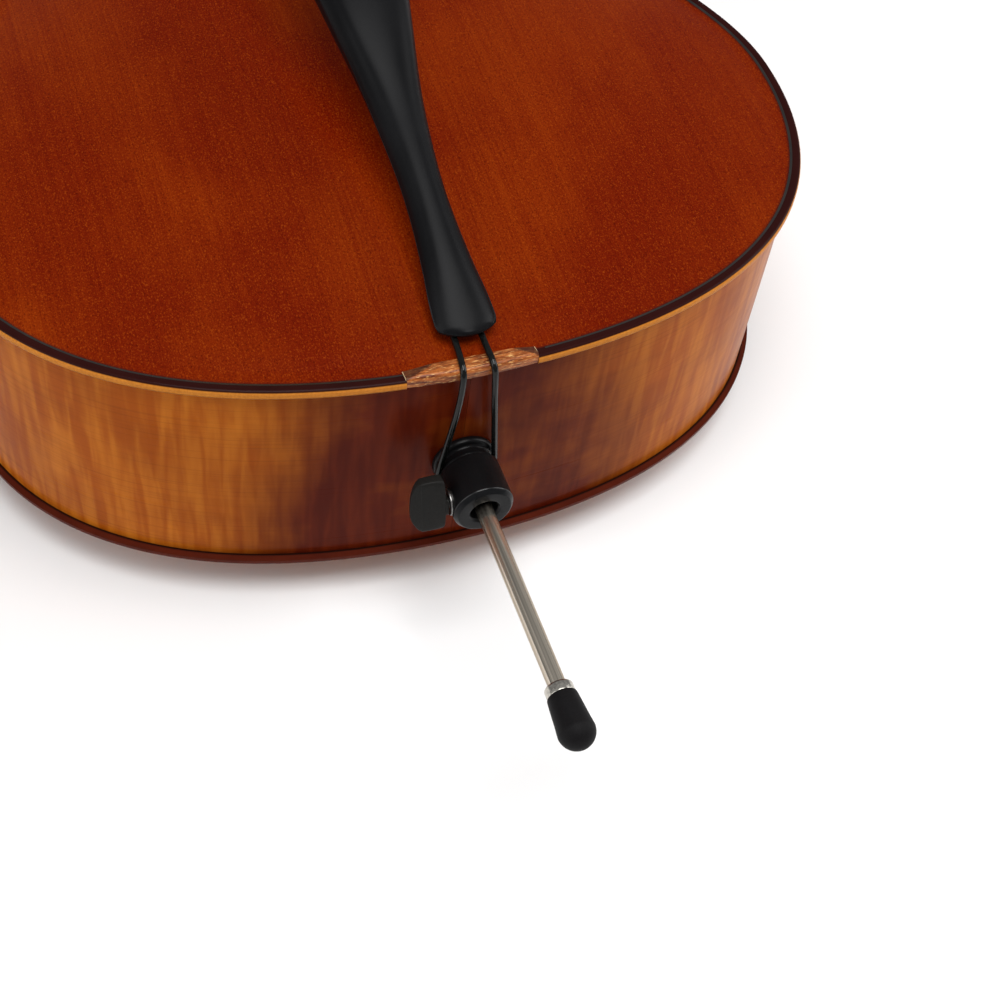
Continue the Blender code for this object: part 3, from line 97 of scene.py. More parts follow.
TAIL_END_Y, TAIL_END_Z = 0.0205, 0.1325
TAIL_SLOPE = math.atan(0.33)
TAIL_ALONG = (0, math.cos(TAIL_SLOPE), math.sin(TAIL_SLOPE))
TAIL_NORMAL = (0, -math.sin(TAIL_SLOPE), math.cos(TAIL_SLOPE))
TAIL_ARC, TAIL_FOOT_SHIFT = 0.062, 0.0026
FOOT_END, FOOT_ARC_END, FOOT_ARC = -0.0047, 0.004, 0.0215
TUNER_PIVOT_S, TUNER_SCREW_S, TUNER_HOOK_S = 0.218, 0.203, 0.23
TUNER_DROP, KNOB_RISE = 0.0078, 0.0036

PIN_X, PIN_Z = 0.0009, EDGE + RIB_HEIGHT / 2
HOUSING_RADIUS, HOUSING_NEAR, HOUSING_FAR = 0.0145, 0.0055, 0.0295
GROOVE_RADIUS, FLANGE_RADIUS = 0.0122, 0.0153
ROD_RADIUS, ROD_IN, ROD_OUT = 0.004, -0.32, 0.133
FERRULE_NEAR, FERRULE_FAR, FERRULE_RADIUS = 0.125, 0.1296, 0.0065
TIP_END = 0.1555
CLAMP_Y, SPOT_FACE = -0.0198, 0.0126
CLAMP_TILT = math.radians(-14)
GUT_RADIUS = 0.0015

# The camera, in the cello's own axes
CAMERA_AT = Vector((-0.19803, -0.43741, 0.66114))
CAMERA_AZIMUTH, CAMERA_ELEVATION, CAMERA_ROLL = (math.radians(a) for a in (-24.716, 51.976, 7.899))
CAMERA_LENS, CAMERA_SHIFT = 59.304, (0.0337, -0.0146)


# ---------------------------------------------------------------- materials


class Paint:
    """A node material round one Principled shader."""

    def __init__(self, name, colour=(0.5, 0.5, 0.5), roughness=0.5, metallic=0.0, **sockets):
        self.material = bpy.data.materials.new(name)
        self.material.use_nodes = True
        self.tree = self.material.node_tree
        self.shader = self.tree.nodes["Principled BSDF"]
        self.set("Base Color", (*colour, 1.0))
        self.set("Roughness", roughness)
        self.set("Metallic", metallic)
        for key, value in sockets.items():
            self.set(key.replace("_", " "), value)
        self.coordinates = None

    def set(self, socket, value):
        self.shader.inputs[socket].default_value = value

    def link(self, output, socket):
        self.tree.links.new(output, self.shader.inputs[socket])

    def feed(self, socket, value):
        """Links an output to a node's socket, or gives the socket a plain value."""
        if isinstance(value, bpy.types.NodeSocket):
            self.tree.links.new(value, socket)
        else:
            socket.default_value = value

    def node(self, kind, inputs=None, **settings):
        made = self.tree.nodes.new("ShaderNode" + kind)
        for key, value in settings.items():
            setattr(made, key, value)
        for key, value in (inputs or {}).items():
            self.feed(made.inputs[key], value)
        return made

    def position(self):
        if self.coordinates is None:
            self.coordinates = self.node("TexCoord").outputs["Object"]
        return self.coordinates

    def place(self, scale=(1, 1, 1), turn=(0, 0, 0)):
        """Object coordinates, turned and stretched."""
        return self.node("Mapping", {"Vector": self.position(), "Scale": scale,
            "Rotation": turn}).outputs[0]

    def noise(self, stretch, detail=3.0, rough=0.55, distortion=0.0, turn=(0, 0, 0)):
        inputs = {"Vector": self.place(stretch, turn), "Scale": 1.0, "Detail": detail, "Roughness": rough}
        return self.node("TexNoise", {**inputs, "Distortion": distortion}).outputs["Fac"]

    def span(self, value, low, high, to_low=0.0, to_high=1.0):
        """A value stretched from one range to another, smoothly and clamped."""
        inputs = {"Value": value, "From Min": low, "From Max": high, "To Min": to_low, "To Max": to_high}
        return self.node("MapRange", inputs, interpolation_type="SMOOTHSTEP").outputs[0]

    def mix(self, share, first, second):
        made = self.node("Mix", data_type="RGBA")
        for index, value in ((0, share), (6, first), (7, second)):
            self.feed(made.inputs[index], (*value, 1.0) if isinstance(value, tuple) else value)
        return made.outputs[2]

    def math(self, operation, first, second=0.0):
        made = self.node("Math", operation=operation)
        for socket, value in zip(made.inputs, (first, second)):
            self.feed(socket, value)
        return made.outputs[0]

    def axis(self, name):
        return self.node("SeparateXYZ", {0: self.position()}).outputs[name]

    def attribute(self, name):
        return self.node("Attribute", attribute_name=name).outputs["Fac"]

    def finished(self, colour, grain, rough, strength, distance=0.0001, height=None):
        """The material, once its colour is linked and its roughness and bumps follow the grain."""
        self.link(colour, "Base Color")
        self.link(self.span(grain, 0.0, 1.0, *rough), "Roughness")
        height = grain if height is None else height
        bump = self.node("Bump", {"Height": height, "Strength": strength, "Distance": distance})
        self.link(bump.outputs[0], "Normal")
        return self.material


VARNISH = {"Coat_Weight": 0.04, "Coat_Roughness": 0.12, "Coat_IOR": 1.4, "Specular_IOR_Level": 0.03}


def edge_depth(paint):
    """0 at a plate's outline and 1 at 12 mm in."""
    return paint.math("DIVIDE", paint.attribute("edge_mm"), 12.0)


def edge_colours(paint, wood):
    """The plate's golden outer edge, its dark shaded border and the start of the open wood."""
    depth = edge_depth(paint)
    grain = paint.noise((900, 900, 500), 2.0)
    gold = paint.mix(grain, (0.66, 0.25, 0.035), (0.42, 0.13, 0.016))
    dark = paint.mix(paint.noise((60, 60, 60)), (0.016, 0.0032, 0.003), (0.03, 0.006, 0.0048))
    border = paint.mix(paint.span(depth, 0.022, 0.055), gold, dark)
    return paint.mix(paint.span(depth, 0.42, 0.62), border, wood)


def spruce():
    paint = Paint("spruce_belly", roughness=0.3, **VARNISH)
    lines = paint.noise((1500, 6, 60), 3.0, 0.6)
    years = paint.noise((420, 4, 30), 2.0, 0.5)
    fleck = paint.noise((1500, 950, 1000), 2.0, 0.75)
    cloud = paint.noise((11, 7, 11), 3.0, 0.55)
    grain = paint.math("ADD", paint.math("MULTIPLY", lines, 0.65), paint.math("MULTIPLY", years, 0.35))
    red = paint.mix(paint.span(grain, 0.34, 0.66), (0.124, 0.006, 0.0003), (0.15, 0.0092, 0.0004))
    amber = paint.mix(paint.span(grain, 0.34, 0.66), (0.18, 0.015, 0.0005), (0.232, 0.027, 0.0009))
    flank = paint.math("ABSOLUTE", paint.axis("X"))
    outward = paint.span(flank, 0.1, 0.22, 0.0, 0.25)
    share = paint.math("ADD", outward, paint.span(cloud, 0.4, 0.66, 0.0, 0.75))
    wood = paint.mix(share, red, amber)
    wood = paint.mix(paint.span(fleck, 0.54, 0.7, 0.0, 0.55), wood, (0.34, 0.06, 0.003))
    wood = paint.mix(paint.span(fleck, 0.47, 0.3, 0.0, 0.62), wood, (0.04, 0.002, 0.0002))
    height = paint.math("ADD", lines, fleck)
    return paint.finished(edge_colours(paint, wood), fleck, (0.24, 0.4), 0.1, 0.00015, height)


def maple(name, flame_stretch, turn=(0, 0, 0), grain_stretch=(10, 10, 900), shaded=False, edged=False,
        mirror=False):
    """Flamed maple under amber to red-brown varnish."""
    paint = Paint(name, roughness=0.3, **VARNISH)
    if mirror:
        parts = paint.node("SeparateXYZ", {0: paint.position()}).outputs
        sides = {"X": paint.math("ABSOLUTE", parts["X"]), "Y": parts["Y"], "Z": parts["Z"]}
        paint.coordinates = paint.node("CombineXYZ", sides).outputs[0]
    flame = paint.noise(flame_stretch, 2.0, 0.45, 0.35, turn)
    wide = paint.noise(tuple(0.33 * s for s in flame_stretch), 1.0, 0.5, 0.0, turn)
    grain = paint.noise(grain_stretch, 3.0, 0.6)
    band = paint.span(paint.math("ADD", flame, paint.math("MULTIPLY", wide, 0.6)), 0.56, 1.06)
    light = paint.mix(band, (0.345, 0.072, 0.003), (0.5, 0.145, 0.011))
    wood = light
    if shaded:
        deep = paint.mix(band, (0.07, 0.006, 0.001), (0.118, 0.014, 0.0024))
        cloud = paint.noise((18, 18, 30), 3.0)
        lower = paint.math("MULTIPLY", paint.math("SUBTRACT", paint.axis("Z"), 0.085), 0.3)
        across = paint.math("ADD", paint.math("ABSOLUTE", paint.axis("X")), lower)
        open_out = paint.math("ADD", paint.span(across, 0.045, 0.122),
            paint.span(cloud, 0.35, 0.75, -0.16, 0.16))
        upward = paint.span(paint.axis("Y"), -0.47, -0.3)
        wood = paint.mix(paint.math("MAXIMUM", open_out, upward), deep, light)
    wood = paint.mix(paint.span(grain, 0.45, 0.75, 0.0, 0.24), wood, (0.07, 0.012, 0.003))
    if edged:
        wood = back_edge(paint, wood)
    return paint.finished(wood, grain, (0.24, 0.38), 0.06)


def back_edge(paint, wood):
    depth = edge_depth(paint)
    rim = paint.mix(paint.noise((80, 80, 80)), (0.055, 0.0085, 0.005), (0.105, 0.017, 0.007))
    # From about 2 to 3 mm in, the rim fades to near-black up to where the rib stands: painted shade where
    # the rib meets the back's ledge.
    rim = paint.mix(paint.span(depth, 0.17, 0.24), rim, (0.012, 0.004, 0.003))
    return paint.mix(paint.span(depth, 0.42, 0.62), rim, wood)


def dark_wood(name, low=(0.01, 0.008, 0.007), high=(0.032, 0.024, 0.019), **sockets):
    paint = Paint(name, roughness=0.34, **sockets)
    streak = paint.noise((420, 14, 420), 4.0, 0.6)
    return paint.finished(paint.mix(paint.span(streak, 0.35, 0.75), low, high), streak, (0.26, 0.44), 0.12)


def rosewood():
    paint = Paint("rosewood", roughness=0.34, Coat_Weight=0.08, Coat_Roughness=0.2, Specular_IOR_Level=0.22)
    streak = paint.noise((90, 700, 700), 4.0, 0.65, 0.4)
    pores_and_glints = paint.noise((260, 2400, 2400), 2.0, 0.6)
    wood = paint.mix(paint.span(streak, 0.34, 0.66), (0.11, 0.019, 0.005), (0.44, 0.125, 0.026))
    # The bright golden specks are painted glints; the dark specks on the same noise are the wood's pores.
    wood = paint.mix(paint.span(pores_and_glints, 0.56, 0.7, 0.0, 0.75), wood, (0.92, 0.54, 0.2))
    wood = paint.mix(paint.span(pores_and_glints, 0.4, 0.3, 0.0, 0.8), wood, (0.018, 0.004, 0.0025))
    wood = paint.mix(paint.math("MULTIPLY", paint.attribute("facet"), 0.8), wood, (0.028, 0.006, 0.005))
    return paint.finished(wood, pores_and_glints, (0.25, 0.5), 0.25, 0.0002)


def pale_wood(name, low, high, stretch=(500, 500, 20), **sockets):
    paint = Paint(name, roughness=0.55, **sockets)
    grain = paint.noise(stretch, 4.0, 0.6)
    fleck = paint.noise(tuple(3 * s for s in stretch), 2.0, 0.6)
    wood = paint.mix(paint.span(grain, 0.3, 0.7), low, high)
    wood = paint.mix(paint.span(fleck, 0.6, 0.72, 0.0, 0.4), wood, tuple(0.6 * c for c in low))
    return paint.finished(wood, grain, (0.45, 0.62), 0.12)


def moulded(name, colour, rough=(0.36, 0.5), grit=1800, strength=0.12, gloss=0.14):
    paint = Paint(name, roughness=0.4, Specular_IOR_Level=gloss)
    fine = paint.noise((grit, grit, grit), 3.0, 0.6)
    broad = paint.noise((30, 30, 30), 2.0)
    lighter = tuple(1.6 * c + 0.002 for c in colour)
    shade = paint.math("ADD", paint.math("MULTIPLY", fine, 0.5), paint.math("MULTIPLY", broad, 0.5))
    shade = paint.mix(paint.span(shade, 0.35, 0.7), colour, lighter)
    return paint.finished(shade, broad, rough, strength, height=fine)


def metal(name, colour, rough=(0.18, 0.34), stretch=(900, 900, 900), strength=0.05, dark=0.62, rim=None):
    paint = Paint(name, roughness=0.25, metallic=1.0)
    if rim:
        paint.set("Specular Tint", (*rim, 1.0))
    brush = paint.noise(stretch, 3.0, 0.6)
    shade = paint.mix(paint.span(brush, 0.3, 0.7), tuple(dark * c for c in colour), colour)
    return paint.finished(shade, brush, rough, strength, 0.00005)


def wound(name, colour, period=0.00042, metallic=1.0):
    """Flat windings round a string: fine rings across its run."""
    paint = Paint(name, roughness=0.3, metallic=metallic)
    along = paint.place((0.02, 1, 0.4))
    rings = paint.node("TexWave", {"Vector": along, "Scale": 0.314 / period, "Distortion": 0.2},
        bands_direction="Y")
    rings = rings.outputs["Fac"]
    shade = paint.mix(rings, tuple(0.55 * c for c in colour), colour)
    return paint.finished(shade, rings, (0.24, 0.42), 0.5)


def floor_paint():
    paint = Paint("pale_floor", roughness=0.8)
    speck = paint.noise((3, 3, 3), 2.0)
    paint.link(paint.mix(speck, (0.9, 0.9, 0.9), (0.93, 0.93, 0.93)), "Base Color")
    return paint.material


PAINTS = {
    "spruce": spruce(),
    "rib": maple("flamed_ribs", (200, 200, 22), shaded=True),
    "back": maple("flamed_back", (16, 95, 16), (0, 0, math.radians(14)), (500, 8, 500), edged=True,
        mirror=True),
    "neck": maple("flamed_neck", (14, 120, 30), grain_stretch=(600, 9, 600)),
    "ebony": dark_wood("ebony"),
    "purfling": dark_wood("purfling_black", (0.006, 0.004, 0.003), (0.014, 0.009, 0.006), Coat_Weight=0.5,
        Coat_Roughness=0.12),
    "rosewood": rosewood(),
    "bridge": pale_wood("bridge_maple", (0.42, 0.22, 0.075), (0.62, 0.38, 0.16), (60, 400, 300)),
    "bare": pale_wood("bare_wood", (0.5, 0.32, 0.16), (0.68, 0.5, 0.3), (500, 500, 30)),
    "composite": moulded("black_composite", (0.003, 0.003, 0.0036), (0.34, 0.44), gloss=0.1),
    "grip": moulded("grip_black", (0.01, 0.0094, 0.0086), (0.42, 0.55), 1400, gloss=0.1),
    "cord": moulded("black_cord", (0.003, 0.0034, 0.0032), (0.1, 0.15), 600, 0.04, gloss=0.24),
    "rubber": moulded("rubber", (0.004, 0.0036, 0.004), (0.45, 0.7), 1500, 0.35, gloss=0.1),
    "housing": moulded("satin_black", (0.0028, 0.0026, 0.0029), (0.26, 0.34), 1500, 0.04),
    "housing_face": moulded("satin_grey", (0.0045, 0.0047, 0.0053), (0.22, 0.32), 1200, 0.05, gloss=0.1),
    # The lighter grey for the endpin housing's outer rim faces is a painted highlight along the rim.
    "painted_rim_highlight": moulded("painted_rim_highlight", (0.013, 0.013, 0.013), (0.2, 0.3), 1200, 0.05, gloss=0.3),
    # The steel's strong dark and light stripes along the rod are partly its brushing and partly painted
    # reflection streaks.
    "steel": metal("steel", (0.92, 0.83, 0.7), (0.18, 0.28), (700, 3, 700), 0.03, dark=0.36,
        rim=(0.3, 0.23, 0.16)),
    "nickel": metal("nickel", (0.66, 0.63, 0.57), (0.16, 0.26)),
    "dark_steel": metal("dark_steel", (0.3, 0.29, 0.28), (0.26, 0.42)),
    "brass": metal("brass", (0.72, 0.52, 0.2), (0.22, 0.35)),
    "wound": wound("string_winding", (0.58, 0.57, 0.56)),
    "silk": wound("string_silk", (0.16, 0.012, 0.018), 0.0006, 0.0),
    "slot_ivory": pale_wood("pip", (0.62, 0.55, 0.42), (0.8, 0.75, 0.62)),
}


# ---------------------------------------------------------------- mesh helpers


def mm(*rows):
    """A table in millimetres, turned into metres."""
    return [tuple(0.001 * value for value in row) for row in rows]


def around(count):
    return np.linspace(0, 2 * math.pi, count, endpoint=False)


def mesh_of(points, faces, sharp=35):
    mesh = bpy.data.meshes.new("mesh")
    mesh.from_pydata([tuple(map(float, p)) for p in points], [], faces)
    bm = bmesh.new()
    bm.from_mesh(mesh)
    bmesh.ops.recalc_face_normals(bm, faces=bm.faces)
    bm.to_mesh(mesh)
    bm.free()
    mesh.shade_smooth()
    mesh.set_sharp_from_angle(angle=math.radians(sharp))
    return mesh


def mark(mesh, name, values):
    mesh.attributes.new(name, "FLOAT", "POINT").data.foreach_set("value", np.array(values, np.float32))


def linked(name, data):
    made = bpy.data.objects.new(name, data)
    bpy.context.scene.collection.objects.link(made)
    return made


def join(piece, body, nodes):
    """Ties a piece to its body and hides the frame's nodes that it stands for."""
    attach(piece, body)
    if nodes:
        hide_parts(*nodes)
    return piece


def add(name, mesh, paint, body="cello", nodes=(), bevel=0.0, angle=35):
    """Adds a mesh drawn in the cello's axes as a piece of the object."""
    mesh.name = name
    mesh.transform(Matrix.Translation(ORIGIN))
    if not mesh.materials:
        mesh.materials.append(PAINTS[paint])
    piece = linked(name, mesh)
    if bevel:
        soften = piece.modifiers.new("bevel", "BEVEL")
        soften.width = bevel
        soften.segments = 3
        soften.limit_method = "ANGLE"
        soften.angle_limit = math.radians(angle)
        soften.harden_normals = True
    return join(piece, body, nodes)


def cut(piece, cutter_mesh):
    """Subtracts a closed mesh, drawn in the cello's axes, from a piece's mesh."""
    cutter_mesh.transform(Matrix.Translation(ORIGIN))
    cutter = linked("cutter", cutter_mesh)
    modifier = piece.modifiers.new("cut", "BOOLEAN")
    modifier.operation = "DIFFERENCE"
    modifier.object = cutter
    rest = [m for m in piece.modifiers if m != modifier]
    shown = [m.show_viewport for m in rest]
    for m in rest:
        m.show_viewport = False
    bpy.context.view_layer.update()
    cut_mesh = bpy.data.meshes.new_from_object(piece.evaluated_get(bpy.context.evaluated_depsgraph_get()))
    piece.modifiers.remove(modifier)
    piece.data = cut_mesh
    for m, state in zip(piece.modifiers, shown):
        m.show_viewport = state
    bpy.data.objects.remove(cutter)
    cut_mesh.shade_smooth()
    cut_mesh.set_sharp_from_angle(angle=math.radians(30))


def skin(rows, count, looped=False, start=0):
    """Faces along a row of equal rings, whose ends are capped or joined to each other."""
    faces = []
    for k in range(rows if looped else rows - 1):
        near, far = start + k * count, start + (k + 1) % rows * count
        faces += [(near + j, near + (j + 1) % count, far + (j + 1) % count, far + j) for j in range(count)]
    if not looped:
        faces.append(tuple(range(start, start + count))[::-1])
        faces.append(tuple(range(start + (rows - 1) * count, start + rows * count)))
    return faces


def loft(rings, sharp=35, looped=False):
    return mesh_of([p for ring in rings for p in ring], skin(len(rings), len(rings[0]), looped), sharp)


CORNER_STEPS = 4


def rounded(profile, radius=0.0004):
    """A profile with its corners rounded, as far as its sides allow."""
    points = [np.array(p, float) for p in profile]
    made = [points[0]]
    for before, corner, after in zip(points, points[1:], points[2:]):
        first, second = before - corner, after - corner
        reach = min(radius, 0.45 * np.linalg.norm(first), 0.45 * np.linalg.norm(second))
        start = corner + first / np.linalg.norm(first) * reach
        end = corner + second / np.linalg.norm(second) * reach
        for t in np.linspace(0, 1, CORNER_STEPS):
            made.append((1 - t) ** 2 * start + 2 * t * (1 - t) * corner + t**2 * end)
    made.append(points[-1])
    return made


def turned(profile, sides=64, bore=(), radius=0.0004):
    """Solid of revolution about Z, through (radius, z) points with rounded corners."""
    line = rounded([*profile, *bore[::-1]], radius)
    rings = [[(r * math.cos(a), r * math.sin(a), z) for a in around(sides)] for r, z in line]
    return loft(rings, 50, looped=bool(bore))


def aimed(mesh, place, direction):
    turn = Vector(direction).to_track_quat("Z", "Y").to_matrix().to_4x4()
    mesh.transform(Matrix.Translation(Vector(place)) @ turn)
    return mesh


def tube(name, route, radius, paint, nodes=(), sides=4):
    curve = bpy.data.curves.new(name, "CURVE")
    curve.dimensions = "3D"
    curve.bevel_depth = radius
    curve.bevel_resolution = sides
    curve.use_fill_caps = True
    spline = curve.splines.new("POLY")
    spline.points.add(len(route) - 1)
    for point, place in zip(spline.points, route):
        point.co = (*(Vector(map(float, place)) + ORIGIN), 1.0)
    spline.use_smooth = True
    curve.materials.append(PAINTS[paint])
    join(linked(name, curve), "cello", nodes)


def triangulated(outer, holes, guides=(), fill=()):
    """Points and triangles inside a loop and outside its holes, with edges along the guides."""
    flat, edges = [], []
    for loop in (outer, *holes, *guides):
        start = len(flat)
        flat += [Vector(map(float, p)) for p in loop]
        edges += [(start + k, start + (k + 1) % len(loop)) for k in range(len(loop))]
    flat += [Vector(map(float, p)) for p in fill]
    flat, _, triangles, *_ = delaunay_2d_cdt(flat, edges, [], 0, 1e-6)
    flat, triangles = (np.array([tuple(row) for row in table]) for table in (flat, triangles))
    middle = flat[triangles].mean(axis=1)
    keep = inside(middle, outer)
    for hole in holes:
        keep &= ~inside(middle, hole)
    return flat, triangles[keep].tolist()


def open_edges(triangles):
    """The edges that belong to one triangle only, running its way round."""
    used = dict.fromkeys(edge for a, b, c in triangles for edge in ((a, b), (b, c), (c, a)))
    return [(a, b) for a, b in used if (b, a) not in used]


def bezier(p0, p1, p2, p3, steps):
    t = np.linspace(0, 1, steps + 1)[:, None]
    p0, p1, p2, p3 = (np.array(p, float) for p in (p0, p1, p2, p3))
    return (1 - t) ** 3 * p0 + 3 * (1 - t) ** 2 * t * p1 + 3 * (1 - t) * t**2 * p2 + t**3 * p3


def smooth_route(knots, per_span):
    knots = [np.array(k, float) for k in knots]
    knots = [2 * knots[0] - knots[1], *knots, 2 * knots[-1] - knots[-2]]
    route = []
    for a, b, c, d in zip(knots, knots[1:], knots[2:], knots[3:]):
        for k in range(per_span):
            t = k / per_span
            bend = (2 * a - 5 * b + 4 * c - d) * t**2 + (3 * b - a - 3 * c + d) * t**3
            route.append(0.5 * (2 * b + (c - a) * t + bend))
    return route + [knots[-2]]


def eased(x, xs, ys):
    """A smooth curve through stations, with flat ends."""
    xs, ys = np.array(xs, float), np.array(ys, float)
    slopes = np.gradient(ys, xs)
    x = float(np.clip(x, xs[0], xs[-1]))
    k = int(np.clip(np.searchsorted(xs, x) - 1, 0, len(xs) - 2))
    width = xs[k + 1] - xs[k]
    t = (x - xs[k]) / width
    h = 2 * t**3 - 3 * t**2 + 1, t**3 - 2 * t**2 + t, 3 * t**2 - 2 * t**3, t**3 - t**2
    return float(h[0] * ys[k] + h[1] * width * slopes[k] + h[2] * ys[k + 1] + h[3] * width * slopes[k + 1])


def mirrored(curve):
    flipped = np.array(curve)[::-1].copy()
    flipped[:, 0] *= -1
    return flipped


def inside(points, polygon):
    points, polygon = np.asarray(points, float), np.asarray(polygon, float)
    found = np.zeros(len(points), bool)
    for a, b in zip(polygon, np.roll(polygon, -1, axis=0)):
        spans = (a[1] > points[:, 1]) != (b[1] > points[:, 1])
        with np.errstate(divide="ignore", invalid="ignore"):
            crossing_x = (b[0] - a[0]) * (points[:, 1] - a[1]) / (b[1] - a[1]) + a[0]
        found ^= spans & (points[:, 0] < crossing_x)
    return found


def nearest(points, polygon):
    """Distance from a closed polygon's line, and the direction away from it, for each point."""
    points, start = np.asarray(points, float), np.asarray(polygon, float)
    along = np.roll(start, -1, axis=0) - start
    length = np.maximum((along**2).sum(1), 1e-18)
    distance, direction = np.zeros(len(points)), np.zeros((len(points), 2))
    normal = np.column_stack([-along[:, 1], along[:, 0]]) / np.sqrt(length)[:, None]
    for first in range(0, len(points), 2000):
        some = points[first : first + 2000]
        away = some[:, None, :] - start[None]
        share = np.clip((away * along).sum(2) / length, 0, 1)
        offset = away - share[..., None] * along
        gaps = np.linalg.norm(offset, axis=2)
        best = gaps.argmin(axis=1)
        rows = np.arange(len(some))
        gap = gaps[rows, best]
        close = gap < 2e-5
        unit = offset[rows, best] / np.maximum(gap, 1e-9)[:, None]
        unit[close] = normal[best[close]]
        distance[first : first + 2000] = gap
        direction[first : first + 2000] = unit
    return distance, direction


# ---------------------------------------------------------------- body outline and arching

FINE = 5  # curve steps for each step of the frame's coarser outline


def half_arcs():
    low = (LOWER_HALF, LOWER_Y)
    waist, high = (WAIST_HALF, WAIST_Y), (UPPER_HALF, UPPER_Y)
    lower = np.vstack(
        [
            bezier((0, 0), (0.135, 0), (LOWER_HALF, LOWER_Y - 0.112), low, 11 * FINE),
            bezier(low, (LOWER_HALF, 0.228), (0.171, 0.27), (0.188, 0.304), 7 * FINE)[1:],
        ]
    )
    middle = np.vstack(
        [
            bezier((0.184, 0.313), (0.146, 0.314), (WAIST_HALF, 0.345), waist, 6 * FINE),
            bezier(waist, (WAIST_HALF, 0.452), (0.127, 0.487), (0.152, 0.49), 5 * FINE)[1:],
        ]
    )
    upper = np.vstack(
        [
            bezier((0.155, 0.499), (0.141, 0.528), (UPPER_HALF, 0.582), high, 6 * FINE),
            bezier(high, (UPPER_HALF, 0.706), (0.096, BODY_LENGTH), (0, BODY_LENGTH), 9 * FINE)[1:],
        ]
    )
    return lower, middle, upper


def directions(curve):
    """Unit vectors along a curve and square to it."""
    along = np.gradient(curve, axis=0)
    along /= np.linalg.norm(along, axis=1)[:, None]
    return along, np.column_stack([-along[:, 1], along[:, 0]])


def inset(curve, amount):
    return curve + amount * directions(curve)[1]


def crossing(first, second):
    """(index in first, index in second, point) where two polylines first cross."""
    p, r = first[:-1, None], np.diff(first, axis=0)[:, None]
    q, s = second[None, :-1], np.diff(second, axis=0)[None]
    cross = r[..., 0] * s[..., 1] - r[..., 1] * s[..., 0]
    cross = np.where(np.abs(cross) < 1e-15, 1e-15, cross)
    gap = q - p
    t = (gap[..., 0] * s[..., 1] - gap[..., 1] * s[..., 0]) / cross
    u = (gap[..., 0] * r[..., 1] - gap[..., 1] * r[..., 0]) / cross
    i, j = np.argwhere((t >= 0) & (t <= 1) & (u >= 0) & (u <= 1))[0]
    return i, j, first[i] + t[i, j] * (first[i + 1] - first[i])


def beyond(end, before_end):
    away = end - before_end
    return end + CORNER_REACH * away / np.linalg.norm(away)


def long_arcs(amount):
    """The outline's arcs, moved inwards, once they have been made longer at the corners."""
    lower, middle, upper = half_arcs()
    lower = np.vstack([lower, beyond(lower[-1], lower[-2])])
    middle = np.vstack([beyond(middle[0], middle[1]), middle, beyond(middle[-1], middle[-2])])
    upper = np.vstack([beyond(upper[0], upper[1]), upper])
    return [inset(arc, amount) for arc in (lower, middle, upper)]


def before(arc, other):
    i, _, point = crossing(arc, other)
    return np.vstack([arc[: i + 1], point])


def after(arc, other):
    i, _, point = crossing(arc, other)
    return np.vstack([point, arc[i + 1 :]])


def half_inset(amount):
    if amount == 0:
        return half_arcs()
    lower, middle, upper = long_arcs(amount)
    return before(lower, middle), before(after(middle, lower), upper), after(upper, middle)


def loop_at(amount):
    right = np.vstack(half_inset(amount))
    right[0, 0] = right[-1, 0] = 0.0
    loop = np.vstack([right, mirrored(right)[1:-1]])
    return loop[np.linalg.norm(loop - np.roll(loop, 1, axis=0), axis=1) > 1e-5]


OUTLINE = loop_at(0)


def arch_edge():
    i = ARCH_INSET
    low, waist, high = LOWER_HALF - i, WAIST_HALF - i, UPPER_HALF - i
    curve = np.vstack(
        [
            bezier((0, i), (0.128, i), (low, LOWER_Y - 0.108), (low, LOWER_Y), 48),
            bezier((low, LOWER_Y), (low, 0.268), (waist, 0.318), (waist, WAIST_Y), 48),
            bezier((waist, WAIST_Y), (waist, 0.475), (high, 0.54), (high, UPPER_Y), 48),
            bezier((high, UPPER_Y), (high, 0.7), (0.092, BODY_LENGTH - i), (0, BODY_LENGTH - i), 48),
        ]
    )
    return curve[:, 1], curve[:, 0]


ARCH_STATIONS, ARCH_HALVES = arch_edge()


def arch(x, y):
    x, y = np.asarray(x, float), np.asarray(y, float)
    half = np.maximum(np.interp(y, ARCH_STATIONS, ARCH_HALVES, left=0.0, right=0.0), 1e-6)
    across = np.clip(1 - (x / half) ** 2, 0, 1)
    t = np.clip((y - ARCH_INSET) / (BODY_LENGTH - 2 * ARCH_INSET), 0, 1)
    along = np.clip(1 - np.abs(2 * t - 1) ** 2.6, 0, 1)
    rise = across * along
    return 0.62 * rise + 0.38 * rise**2 * (3 - 2 * rise)


def belly_top(x, y):
    return BELLY_TOP + BELLY_ARCH * arch(x, y)


# How far the plate's face stands above its flat edge, by the distance in from the outline
EDGE_ROUND, BEAD, CHANNEL_AT, CHANNEL, CHANNEL_END = 0.0021, 0.0004, 0.0078, 0.0008, 0.024
UNDER_ROUND = 0.0013


def edge_profile(d):
    rim = BEAD - EDGE_ROUND + np.sqrt(np.clip(EDGE_ROUND**2 - (EDGE_ROUND - d) ** 2, 0, None))
    down = np.clip((d - EDGE_ROUND) / (CHANNEL_AT - EDGE_ROUND), 0, 1)
    back_up = np.clip((d - CHANNEL_AT) / (CHANNEL_END - CHANNEL_AT), 0, 1)
    inner = BEAD - (BEAD + CHANNEL) * (0.5 - 0.5 * np.cos(math.pi * down))
    inner = inner + CHANNEL * (0.5 - 0.5 * np.cos(math.pi * back_up))
    return np.where(d < EDGE_ROUND, rim, inner)


def under_profile(d):
    return UNDER_ROUND - np.sqrt(np.clip(UNDER_ROUND**2 - np.clip(UNDER_ROUND - d, 0, None) ** 2, 0, None))


